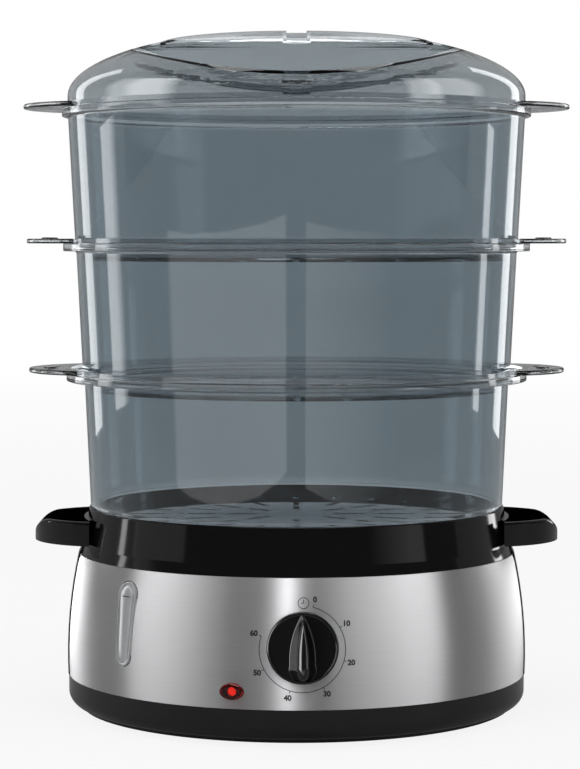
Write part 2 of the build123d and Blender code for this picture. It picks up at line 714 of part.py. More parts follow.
def heater_nuts():
    """Hexagon nuts on the studs, one solid each."""
    hexagon = RegularPolygon(NUT_FLATS / 2, 6, major_radius=False)
    nut = extrude(Pos(0, 0, CLAMP_LOW_Z - NUT_H) * hexagon, NUT_H)
    nut -= post(STUD_R + SCREW_FIT, CLAMP_LOW_Z - NUT_H, CLAMP_LOW_Z)
    return Compound(around(nut, STUD_PITCH_R, evenly(STUD_COUNT)))


def heating_element():
    """Sheathed ring element under the plate's dome, with its two terminal legs."""
    centre_z = DOME_UNDER_Z - ELEMENT_TUBE_R
    ring = Pos(0, 0, centre_z) * Torus(ELEMENT_R, ELEMENT_TUBE_R)
    leg = post(ELEMENT_LEG_R, centre_z - ELEMENT_LEG_DROP, centre_z)
    bearings = (180 - ELEMENT_LEG_SPREAD, 180 + ELEMENT_LEG_SPREAD)
    return ring + around(leg, ELEMENT_R, bearings)


def thermostat():
    """Boil-dry thermostat pressed against the dome, inside the ring element."""
    cap_z = DOME_UNDER_Z - THERMOSTAT_CAP_H
    body_z = cap_z - THERMOSTAT_BODY_H
    tab_x, tab_y, tab_z = THERMOSTAT_TAB
    body = post(THERMOSTAT_CAP_R, cap_z, DOME_UNDER_Z) + post(THERMOSTAT_BODY_R, body_z, cap_z)
    tabs = [Pos(0, y, 0) * block(tab_x, tab_y, body_z - tab_z, body_z) for y in (-tab_x / 2, tab_x / 2)]
    return body + tabs


def thermal_fuse():
    """One-shot fuse held against the underside of the clamp ring."""
    pitch_r = (CLAMP_R + HEATER_HOLE_R) / 2
    lying = Rot(0, 90, 0) * Cylinder(FUSE_R, FUSE_LENGTH)
    return Pos(0, pitch_r, CLAMP_LOW_Z - FUSE_R) * lying


# ------------------------------------------------------------------ base: timer and knob


def timer_body():
    """Clockwork timer: mounting plate, closed case, nose and the post for its bell."""
    length, height, sheet = TIMER_PLATE
    face = -TIMER_SET_BACK
    back = face - TIMER_DEPTH
    body = block(length, height, face - sheet, face) + post(TIMER_R, back, face)
    body += post(TIMER_NOSE_R, face, face + TIMER_NOSE_H)
    body += post(BELL_POST_R, back - BELL_GAP - BELL_DEPTH, back)
    bore_end = back + TIMER_END_WALL
    body -= post(SPINDLE_R + SPINDLE_RUNNING_FIT, bore_end, face + TIMER_NOSE_H)
    screw = post(TIMER_SCREW_R + SCREW_FIT, face - sheet, face)
    body -= [Pos(x, 0, 0) * screw for x in (-TIMER_SCREW_X, TIMER_SCREW_X)]
    return knob_panel() * body


def timer_bell():
    """Steel cup that rings at zero, open towards the timer case."""
    open_z = -TIMER_SET_BACK - TIMER_DEPTH - BELL_GAP
    base_z = open_z - BELL_DEPTH
    cup = post(BELL_R, base_z - BELL_T, open_z) - post(BELL_R - BELL_T, base_z, open_z)
    return knob_panel() * cup


def timer_screws():
    """Two pan-head screws through the timer's plate, one solid each."""
    sheet = TIMER_PLATE[2]
    head_r, head_h = TIMER_SCREW_HEAD
    under = -TIMER_SET_BACK - sheet
    shank = post(TIMER_SCREW_R, under, -TIMER_SET_BACK + TIMER_SCREW_BITE - sheet)
    screw = shank + post(head_r, under - head_h, under)
    seat = knob_panel()
    return Compound([seat * Pos(x, 0, 0) * screw for x in (-TIMER_SCREW_X, TIMER_SCREW_X)])


def spindle_form(fit, z_low, z_high):
    """Round shaft whose front end carries a flat for the knob, grown by fit."""
    radius = SPINDLE_R + fit
    shaft = post(radius, z_low, z_high)
    flat = Pos(0, SPINDLE_FLAT + fit + radius, 0) * block(
        4 * radius, 2 * radius, KNOB_GAP, z_high
    )
    return shaft - flat


def timer_spindle():
    """Shaft from inside the timer to the knob."""
    rear = -TIMER_SET_BACK - TIMER_DEPTH + TIMER_END_WALL + SPINDLE_END_PLAY
    return knob_panel() * spindle_form(0.0, rear, SPINDLE_REACH)


def grip_outline(share_w=1.0, share_l=1.0):
    """Leaf outline of the grip: pointed at the top, round at the bottom."""
    half, waist = GRIP_HALF_W * share_w, GRIP_WAIST * share_w
    top, bottom, shoulder = GRIP_TOP * share_l, GRIP_BOTTOM * share_l, GRIP_SHOULDER * share_l
    mid_y = (top - shoulder) / 2
    return make_face(
        [
            ThreePointArc((0, top), (waist, mid_y), (half, -shoulder)),
            ThreePointArc((half, -shoulder), (0, -bottom), (-half, -shoulder)),
            ThreePointArc((-half, -shoulder), (-waist, mid_y), (0, top)),
        ]
    )


def timer_knob():
    """Dished disc with a raised leaf-shaped grip, on a hub that takes the spindle's flat."""
    face_z = KNOB_GAP + KNOB_T
    disc = fillet(post(KNOB_R, KNOB_GAP, face_z).edges().group_by(Axis.Z)[-1], KNOB_EDGE_R)
    disc -= post(KNOB_R - KNOB_RIM, face_z - KNOB_DISH, face_z)
    disc -= post(KNOB_R - KNOB_SHELL, KNOB_GAP, KNOB_GAP + KNOB_SHELL)
    foot_z = face_z - KNOB_DISH
    foot = Pos(0, 0, foot_z) * grip_outline()
    crest = Pos(0, 0, foot_z + GRIP_H) * grip_outline(GRIP_CREST_W, GRIP_CREST_L)
    grip = loft([foot, crest])
    hub = post(HUB_R, KNOB_GAP, foot_z)
    knob = disc + hub + grip
    knob -= spindle_form(SPINDLE_RUNNING_FIT, KNOB_GAP, SPINDLE_REACH + SPINDLE_RUNNING_FIT)
    return knob_panel() * knob


# ------------------------------------------------------------------ base: lamp, gauge and gland


def lamp_lens():
    """Domed oval lens with a stem through the wall, hollow for the tip of the neon."""
    half_x, half_y = LAMP_LENS
    cap = oval_prism(half_x, half_y, 0, LAMP_PROUD)
    cap = fillet(cap.edges().group_by(Axis.Z)[-1], LAMP_PROUD * 0.8)
    stem = oval_prism(*LAMP_STEM, -LAMP_TAIL, 0)
    pocket = post(NEON_R + NEON_FIT, -LAMP_TAIL, -NEON_FIT)
    return panel(LAMP_BEARING, LAMP_Z) * (cap + stem - pocket)


def lamp_holder():
    """Plastic socket that grips the lens stem and carries the neon."""
    length, height, depth = LAMP_HOLDER
    front = -SHELL_T - LAMP_HOLDER_GAP
    body = block(length, height, front - depth, front)
    stem_x, stem_y = (half + LAMP_GRIP_FIT for half in LAMP_STEM)
    body -= oval_prism(stem_x, stem_y, -LAMP_TAIL - LAMP_GRIP_FIT, front)
    body -= post(NEON_R + NEON_FIT, front - depth, front)
    return panel(LAMP_BEARING, LAMP_Z) * body


def neon_lamp():
    """Glass neon in its socket, just behind the lens."""
    tip = -2 * NEON_FIT
    glass = post(NEON_R, tip - NEON_LENGTH, tip)
    return panel(LAMP_BEARING, LAMP_Z) * fillet(glass.edges().group_by(Axis.Z)[-1], NEON_R * 0.8)


def gauge_window():
    """Clear window of the water gauge: a flange on the steel and a hollow neck through the wall."""
    reach = 2 * SHELL_T
    flange = gauge_prism(GAUGE_FLANGE, -reach, reach) & (band_core(GAUGE_PROUD) - band_core(0.0))
    neck = gauge_prism(0.0, -reach, 0.0) & (band_core(0.0) - band_core(-SHELL_T - GASKET_T))
    pane = -GAUGE_PANE_T
    water = gauge_prism(pane, -2 * reach, reach) & band_core(GAUGE_PROUD + pane)
    return flange + neck - water


def gauge_seal():
    """Gasket round the window's neck, between the housing wall and the reservoir's arm."""
    rim = gauge_prism(GAUGE_FLANGE, -2 * SHELL_T, 0) - gauge_prism(GAUGE_FIT, -2 * SHELL_T, 0)
    return rim & (band_core(-SHELL_T) - band_core(-SHELL_T - GASKET_T))


def gland_neck(z_low, z_high):
    """Keyed neck of the gland, and the hole it sits in, in its panel's frame."""
    return extrude(Pos(0, 0, z_low) * RectangleRounded(*GLAND_NECK), z_high - z_low)


def cord_gland():
    """Rubber bush in the rear wall where the mains lead would enter."""
    inner = -SHELL_T - GLAND_SEAT_GAP
    bush = post(GLAND_FLANGE_R, 0, GLAND_FLANGE_T) + gland_neck(inner, 0)
    bush += post(GLAND_FLANGE_R, inner - GLAND_FLANGE_T, inner)
    bush += post(GLAND_TAIL_R, GLAND_FLANGE_T, GLAND_TAIL)
    return panel(GLAND_BEARING, GLAND_Z) * (bush - Cylinder(GLAND_BORE_R, 8 * GLAND_TAIL))


# ------------------------------------------------------------------ underside


def bottom_plate():
    """Moulded bottom with a locating rim, screw pads, foot holes and vent slots."""
    plate = post(SKIRT_FOOT_R, PLATE_LOW_Z, PLATE_TOP_Z)
    plate += tube(PLATE_SPIGOT_R, PLATE_SPIGOT_R - PLATE_RIM_T, PLATE_TOP_Z, PLATE_TOP_Z + PLATE_RIM_H)
    pad_top = PLATE_TOP_Z + BOSS_PAD_H
    plate += around(post(BOSS_R, PLATE_TOP_Z, pad_top), BOSS_PITCH_R, BOSS_BEARINGS)
    plate -= around(post(SCREW_R + STUD_FIT, PLATE_LOW_Z, pad_top), BOSS_PITCH_R, BOSS_BEARINGS)
    sink = post(SCREW_HEAD[0] + STUD_FIT, PLATE_LOW_Z, PLATE_LOW_Z + SCREW_SINK)
    plate -= around(sink, BOSS_PITCH_R, BOSS_BEARINGS)
    stem = post(RUBBER_STEM_R, PLATE_LOW_Z, PLATE_TOP_Z)
    plate -= around(stem, RUBBER_PITCH_R, RUBBER_BEARINGS)
    length, width = VENT_SLOT
    return plate - radial_slots(
        VENT_SLOT_PITCH_R, length, width, VENT_SLOT_COUNT, PLATE_LOW_Z, PLATE_TOP_Z
    )


def rubber_feet():
    """Push-in rubber feet, one solid each."""
    head_r, head_h = RUBBER_HEAD
    foot = post(RUBBER_FOOT_R, 0, PLATE_LOW_Z) + post(RUBBER_STEM_R, PLATE_LOW_Z, PLATE_TOP_Z)
    foot += post(head_r, PLATE_TOP_Z, PLATE_TOP_Z + head_h)
    return Compound(around(foot, RUBBER_PITCH_R, RUBBER_BEARINGS))


def base_screws():
    """Screws that pull the reservoir, the housing and the bottom plate together."""
    head_r, head_h = SCREW_HEAD
    under = PLATE_LOW_Z + SCREW_SINK
    screw = post(head_r, under - head_h, under) + post(SCREW_R, under, under + SCREW_LENGTH)
    return Compound(around(screw, BOSS_PITCH_R, BOSS_BEARINGS))


def terminal_places():
    """Centres of the terminals along the block."""
    return [Pos(i * TERMINAL_PITCH, TERMINAL_Y, 0) for i in (-1, 0, 1)]


def terminal_block():
    """Mains terminal block on the bottom plate."""
    length, width, height = TERMINAL_BLOCK
    top = PLATE_TOP_Z + height
    body = Pos(0, TERMINAL_Y, 0) * block(length, width, PLATE_TOP_Z, top)
    well = post(TERMINAL_WELL_R, top - TERMINAL_WELL_DEPTH, top)
    return body - [place * well for place in terminal_places()]


def terminal_screws():
    """Brass clamping screws at the bottom of the terminal wells."""
    low = PLATE_TOP_Z + TERMINAL_BLOCK[2] - TERMINAL_WELL_DEPTH
    screw = post(TERMINAL_WELL_R - TERMINAL_SCREW_FIT, low, low + TERMINAL_SCREW_H)
    return Compound([place * screw for place in terminal_places()])


# ------------------------------------------------------------------ lift-off pieces


def turbo_ring():
    """Loose ring round the heater, notched at the foot so that water seeps in slowly."""
    top = WELL_FLOOR_Z + TURBO_H
    ring = turned(
        (TURBO_R - TURBO_WALL, WELL_FLOOR_Z),
        (TURBO_R, WELL_FLOOR_Z),
        (TURBO_TOP_R, top),
        (TURBO_TOP_R - TURBO_WALL, top),
    )
    width, height = TURBO_NOTCH
    notch = block(width, 2 * TURBO_R, WELL_FLOOR_Z, WELL_FLOOR_Z + height)
    half_turn = evenly(TURBO_NOTCH_COUNT)[: TURBO_NOTCH_COUNT // 2]
    return ring - [Rot(0, 0, bearing) * notch for bearing in half_turn]


def drip_tray():
    """Shallow tray on short feet, with a slotted steam chimney in the middle."""
    floor, rim = TRAY_FLOOR_Z, TRAY_FLOOR_Z + TRAY_RIM_H
    cap = floor + CHIMNEY_H
    inner_low = CHIMNEY_LOW_R - TRAY_WALL
    tray = turned(
        (inner_low, floor),
        (TRAY_R, floor),
        (TRAY_R, rim),
        (TRAY_R - TRAY_WALL, rim),
        (TRAY_R - TRAY_WALL, floor + TRAY_WALL),
        (CHIMNEY_LOW_R, floor + TRAY_WALL),
        (CHIMNEY_TOP_R, cap),
        (0, cap),
        (0, cap - TRAY_WALL),
        (CHIMNEY_TOP_R - TRAY_WALL, cap - TRAY_WALL),
    )
    foot = post(TRAY_FOOT_R, SHELF_Z, floor)
    tray += around(foot, TRAY_FOOT_PITCH_R, evenly(TRAY_FOOT_COUNT))
    length, width = CHIMNEY_SLOT
    return tray - radial_slots(
        CHIMNEY_SLOT_PITCH_R, length, width, CHIMNEY_SLOT_COUNT, cap - TRAY_WALL, cap
    )


def ear(size, rim_top):
    """Flat crescent grip on the right of a rim, with a raised thumb pad."""
    centre_x = size.ear_tip - EAR_PLAN_R
    plate = Pos(centre_x, 0, 0) * post(EAR_PLAN_R, rim_top - EAR_T, rim_top)
    plate = fillet(plate.edges(), EAR_T * 0.4)
    pad_x, pad_y, pad_h = EAR_PAD
    pad = extrude(Pos(0, 0, rim_top) * Ellipse(pad_x / 2, pad_y / 2), pad_h, taper=45)
    plate += Pos(size.ear_tip - EAR_PAD_INSET, 0, 0) * pad
    return plate - post(lip_bore_r(size), rim_top - RIM_H, rim_top + RIM_H)


def lip_bore_r(size):
    """Inside of the rim's upstanding lip."""
    return size.rim_r - RIM_STEP - LIP_T


def basket(size, seat_z, mouth_r):
    """Clear basket that stands on seat_z, with its nesting foot inside a mouth of mouth_r."""
    foot_r = mouth_r - FOOT_FIT
    floor_z = seat_z - FOOT_DEPTH
    under = seat_z + size.wall_h
    top = under + RIM_H
    lip_r = lip_bore_r(size)
    shell = turned(
        (0, floor_z),
        (foot_r, floor_z),
        (foot_r, seat_z),
        (size.foot_r, seat_z),
        (size.top_r, under),
        (size.rim_r, under),
        (size.rim_r, under + RIM_STEP_H),
        (size.rim_r - RIM_STEP, under + RIM_STEP_H),
        (size.rim_r - RIM_STEP, top),
        (lip_r, top),
        (lip_r, under + LEDGE_T),
        (size.top_r - BASKET_WALL, under + LEDGE_T),
        (size.foot_r - BASKET_WALL, seat_z + BASKET_WALL),
        (foot_r - BASKET_WALL, seat_z + BASKET_WALL),
        (foot_r - BASKET_WALL, floor_z + BASKET_FLOOR_T),
        (0, floor_z + BASKET_FLOOR_T),
        rounds=(
            ((foot_r, floor_z), 2 * EDGE_R),
            ((foot_r - BASKET_WALL, floor_z + BASKET_FLOOR_T), EDGE_R),
            ((size.foot_r, seat_z), EDGE_R),
            ((size.top_r, under), 2 * EDGE_R),
            ((size.rim_r, under), EDGE_R),
            ((size.rim_r, under + RIM_STEP_H), EDGE_R),
        ),
    )
    right = ear(size, top)
    shell += [right, mirror(right, Plane.YZ)]
    for pitch, length, count in SLOT_RINGS:
        shell -= radial_slots(
            pitch * foot_r, length * foot_r, SLOT_WIDTH, count, floor_z, floor_z + BASKET_FLOOR_T
        )
    return shell


def stacked_baskets():
    """Baskets from the bottom up, each seated in the rim below; also the ledge for the lid."""
    seat_z, mouth_r = COLLAR_TOP_Z, COLLAR_BORE_R
    made = {}
    for size in BASKET_SIZES:
        made[size.name] = basket(size, seat_z, mouth_r)
        seat_z += size.wall_h + LEDGE_T
        mouth_r = size.top_r - BASKET_WALL
    return made, seat_z


def scoop(side, skirt_top, inset):
    """Waste of one finger scoop, grown by inset: a drafted wall by the bar and a hollow floor."""
    floor_z = skirt_top + SCOOP_FLOOR_RISE - inset
    edge_z = skirt_top + LID_RISE - BAR_CROWN
    wall_y = BAR_HALF_W - inset
    run = (edge_z - floor_z) * math.tan(math.radians(BAR_DRAFT))
    radius = SCOOP_FLOOR_R
    far = 2 * LID_R
    wedge = Polyline(
        (wall_y, edge_z),
        (wall_y + run, floor_z),
        (wall_y + run, skirt_top),
        (far, skirt_top),
        (far, edge_z + far),
        (wall_y, edge_z + far),
        close=True,
    )
    wedge = extrude(Plane.YZ * make_face(wedge), LID_R, both=True)
    trough = Pos(0, LID_R, floor_z + radius) * Rot(90, 0, 0) * Cylinder(radius, 2 * LID_R)
    waste = wedge & trough
    inner_edge = waste.edges().filter_by(GeomType.ELLIPSE).sort_by(Axis.Y)[0]
    waste = fillet(inner_edge, SCOOP_FILLET + inset)
    return waste if side > 0 else mirror(waste, Plane.XZ)


def lid_form(foot_z, inset):
    """Solid bounded by the lid's outer face moved inward by inset."""
    skirt_top = foot_z + LID_SKIRT_H
    crown = skirt_top + LID_RISE
    edge_z = crown - BAR_CROWN - inset
    radius, rise = LID_R - inset, LID_RISE - inset
    outline = [
        EllipticalCenterArc((0, skirt_top), radius, rise, arc_size=90),
        Polyline((0, skirt_top + rise), (0, foot_z), (radius, foot_z), (radius, skirt_top)),
    ]
    dome = revolved(outline)
    bar_cap = Pos(0, 0, edge_z) * Box(
        2 * LID_R, 2 * BAR_HALF_W, LID_RISE, align=(Align.CENTER, Align.CENTER, Align.MIN)
    )
    crest_half = LID_R * math.sqrt(1 - ((LID_RISE - BAR_CROWN) / LID_RISE) ** 2)
    crest = scale(Sphere(1), by=(crest_half, BAR_HALF_W - inset, BAR_CROWN))
    form = dome - bar_cap + Pos(0, 0, edge_z) * crest
    for side in (-1, 1):
        form -= scoop(side, skirt_top, inset)
    return form


def channelled(foot_z, inset, width):
    """Lid form with the steam channel of a given width sunk into its bar and scoops."""
    form, sunk = lid_form(foot_z, inset), lid_form(foot_z, inset + CHANNEL_DEPTH)
    slab = block(width, 2 * CHANNEL_REACH, foot_z + LID_SKIRT_H, foot_z + LID_SKIRT_H + LID_RISE)
    return form - (slab - sunk)


def lid(foot_z):
    """Clear domed lid with a hollow grip bar, finger scoops and a vented steam channel."""
    shell = channelled(foot_z, 0.0, CHANNEL_W)
    shell -= channelled(foot_z, LID_WALL, CHANNEL_W + 2 * LID_WALL)
    vent = block(VENT_W, VENT_L, foot_z, foot_z + LID_SKIRT_H + LID_RISE)
    return shell - [Pos(0, y, 0) * vent for y in (-VENT_Y, VENT_Y)]


def make_part():
    """Every node, in the stack's own frame."""
    baskets, lid_foot = stacked_baskets()
    nodes = {
        "base_housing": base_housing(),
        "steel_front_panel": steel_front_panel(),
        "bottom_plate": bottom_plate(),
        "rubber_feet": rubber_feet(),
        "base_screws": base_screws(),
        "reservoir": reservoir(),
        "heater_plate": heater_plate(),
        "heater_seal": heater_seal(),
        "heater_clamp_ring": heater_clamp_ring(),
        "heater_nuts": heater_nuts(),
        "heating_element": heating_element(),
        "thermostat": thermostat(),
        "thermal_fuse": thermal_fuse(),
        "timer_body": timer_body(),
        "timer_bell": timer_bell(),
        "timer_screws": timer_screws(),
        "timer_spindle": timer_spindle(),
        "timer_knob": timer_knob(),
        "lamp_lens": lamp_lens(),
        "lamp_holder": lamp_holder(),
        "neon_lamp": neon_lamp(),
        "gauge_window": gauge_window(),
        "gauge_seal": gauge_seal(),
        "cord_gland": cord_gland(),
        "terminal_block": terminal_block(),
        "terminal_screws": terminal_screws(),
        "turbo_ring": turbo_ring(),
        "drip_tray": drip_tray(),
    }
    nodes.update(baskets)
    nodes["lid"] = lid(lid_foot)
    return nodes


def main():
    """Write each node, moved so that the whole object is centred front to back."""
    nodes = make_part()
    boxes = [shape.bounding_box() for shape in nodes.values()]
    middle_y = (min(b.min.Y for b in boxes) + max(b.max.Y for b in boxes)) / 2
    os.makedirs("parts", exist_ok=True)
    for name, shape in nodes.items():
        export_step(Pos(0, -middle_y, 0) * shape, f"parts/{name}.step")
    print(f"{len(nodes)} nodes written; the stack axis is at y = {-middle_y:.3f}")


main()
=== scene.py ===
"""Looks of the electric food steamer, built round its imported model.

Every length is in metres in the model's own frame: +Z is up, the front with the timer faces -Y,
and +X is to the right of someone who faces the front.
"""

from __future__ import annotations

import json
import logging
import math
from dataclasses import dataclass, field
from enum import Enum
from typing import Callable, Iterable

import bmesh
import bpy
from bpy.types import Material, NodeTree, Object
from mathutils import Matrix, Vector
from mathutils.bvhtree import BVHTree

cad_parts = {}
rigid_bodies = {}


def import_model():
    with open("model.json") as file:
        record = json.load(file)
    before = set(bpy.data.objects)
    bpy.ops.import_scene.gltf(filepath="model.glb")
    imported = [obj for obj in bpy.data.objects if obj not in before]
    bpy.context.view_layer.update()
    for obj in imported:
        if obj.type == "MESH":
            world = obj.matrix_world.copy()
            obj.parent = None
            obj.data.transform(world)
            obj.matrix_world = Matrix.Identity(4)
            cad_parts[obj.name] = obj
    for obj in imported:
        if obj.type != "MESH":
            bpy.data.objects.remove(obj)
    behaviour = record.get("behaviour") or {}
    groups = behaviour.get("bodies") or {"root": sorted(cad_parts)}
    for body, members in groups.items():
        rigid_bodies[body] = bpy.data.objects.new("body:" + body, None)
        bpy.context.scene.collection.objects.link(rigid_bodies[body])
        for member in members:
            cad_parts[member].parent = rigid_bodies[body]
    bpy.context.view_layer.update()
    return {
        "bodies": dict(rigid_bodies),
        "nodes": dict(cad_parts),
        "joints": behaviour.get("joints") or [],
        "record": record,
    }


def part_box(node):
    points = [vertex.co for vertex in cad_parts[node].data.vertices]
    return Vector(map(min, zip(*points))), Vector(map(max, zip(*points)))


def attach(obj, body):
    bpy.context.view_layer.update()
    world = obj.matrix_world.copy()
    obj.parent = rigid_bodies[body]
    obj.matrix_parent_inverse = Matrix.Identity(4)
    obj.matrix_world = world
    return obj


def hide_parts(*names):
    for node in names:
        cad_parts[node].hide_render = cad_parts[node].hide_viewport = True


LOG = logging.getLogger("steamer")
MM = 0.001
STAND_OFF = 30 * MM  # where rays start, in front of the surface that they look for
MERGE = 0.001 * MM  # vertices nearer than this become one
QUARTER = [math.radians(15.0 * k) for k in range(7)]  # angles over a quarter turn
WHITE = (1.0, 1.0, 1.0, 1.0)

Colour = tuple[float, float, float, float]
Flat = tuple[float, float]
Socket = bpy.types.NodeSocket
Node = bpy.types.Node
Outputs = bpy.types.NodeOutputs
Value = float | Colour | Socket
Vert = bmesh.types.BMVert


# ---------------------------------------------------------------- shader building


class Shader:
    """A node tree, with short calls for adding nodes and filling their inputs."""

    def __init__(self, tree: NodeTree) -> None:
        """Wrap the tree of a material, a lamp, a world or a node group."""
        self.tree = tree

    def add(self, kind: str, **values: object) -> Node:
        """Add a node and set its properties.

        Args:
            kind: Blender's name for the node type.
            values: Node properties by name.

        Returns:
            The new node.
        """
        node = self.tree.nodes.new(kind)
        for name, value in values.items():
            setattr(node, name, value)
        return node

    def put(self, slot: Socket, value: Value) -> None:
        """Join an output to an input, or set the input to a plain value.

        Args:
            slot: Input to fill.
            value: Output or plain value.
        """
        if isinstance(value, bpy.types.NodeSocket):
            self.tree.links.new(value, slot)
        else:
            slot.default_value = value

    def feed(self, node: Node, **values: Value) -> Node:
        """Fill a node's inputs.

        Args:
            node: Node to fill.
            values: Plain values or outputs by the input's name, with _ for a space.

        Returns:
            The node.
        """
        for name, value in values.items():
            self.put(node.inputs[name.replace("_", " ")], value)
        return node

    def math(self, operation: str, *operands: float | Socket, clamp: bool = False) -> Socket:
        """Add a Math node.

        Args:
            operation: Blender's name for the operation.
            operands: Numbers or outputs, in order.
            clamp: Whether the result is held between 0 and 1.

        Returns:
            The node's output.
        """
        node = self.add("ShaderNodeMath", operation=operation, use_clamp=clamp)
        for slot, operand in zip(node.inputs, operands):
            self.put(slot, operand)
        return node.outputs[0]

    def blend(self, factor: Socket, low: Colour | Socket, high: Colour | Socket) -> Socket:
        """Mix two colours.

        Args:
            factor: Share of the second colour.
            low: Colour at 0.
            high: Colour at 1.

        Returns:
            The mixed colour.
        """
        node = self.add("ShaderNodeMix", data_type="RGBA")
        for slot, value in ((0, factor), (6, low), (7, high)):
            self.put(node.inputs[slot], value)
        return node.outputs[2]

    def spread(self, value: Socket, low: float, high: float) -> Socket:
        """Stretch a 0 to 1 value over a range.

        Args:
            value: Value between 0 and 1.
            low: Result at 0.
            high: Result at 1.

        Returns:
            The stretched value.
        """
        node = self.feed(self.add("ShaderNodeMapRange"), Value=value, To_Min=low, To_Max=high)
        return node.outputs["Result"]

    def place(self, kind: str = "Object") -> Socket:
        """Coordinates of the shaded point, of one of Blender's kinds."""
        return self.add("ShaderNodeTexCoord").outputs[kind]

    def split(self, vector: Socket) -> Outputs:
        """X, Y and Z of a vector."""
        return self.feed(self.add("ShaderNodeSeparateXYZ"), Vector=vector).outputs

    def noise(self, place: Socket, scale: float | Socket, detail: float = 2.0) -> Socket:
        """Noise between 0 and 1.

        Args:
            place: Coordinates that it is read at.
            scale: Lumps per unit of the coordinates.
            detail: How many finer layers it has.

        Returns:
            The noise.
        """
        node = self.feed(self.add("ShaderNodeTexNoise"), Vector=place, Scale=scale, Detail=detail)
        return node.outputs["Fac"]

    def use(self, group: NodeTree, **values: float) -> Outputs:
        """Place a shared effect.

        Args:
            group: Node group of the effect.
            values: Input values by name, with _ for a space.

        Returns:
            The effect's results.
        """
        return self.feed(self.add("ShaderNodeGroup", node_tree=group), **values).outputs

    def worn(self, mask: Socket, wear: float, roughness: float) -> Socket:
        """Clean roughness with the wear of a mask added."""
        return self.math("ADD", self.math("MULTIPLY", mask, wear), roughness, clamp=True)

    def bump(self, body: Node, height: Socket, depth: float) -> None:
        """Feed a height to a Principled node's normal.

        Args:
            body: Principled node.
            height: Height between 0 and 1.
            depth: Height in metres that 1 stands for.
        """
        node = self.feed(self.add("ShaderNodeBump"), Distance=depth, Strength=1.0, Height=height)
        self.feed(body, Normal=node.outputs["Normal"])

    def layer(self, share: Socket, under: Node, over: Node) -> None:
        """Make two surface shaders the material's surface.

        Args:
            share: Share of the upper one.
            under: Lower surface shader.
            over: Upper surface shader.
        """
        mix = self.add("ShaderNodeMixShader")
        for slot, value in zip(mix.inputs, (share, under.outputs[0], over.outputs[0])):
            self.put(slot, value)
        self.feed(self.tree.nodes["Material Output"], Surface=mix.outputs[0])


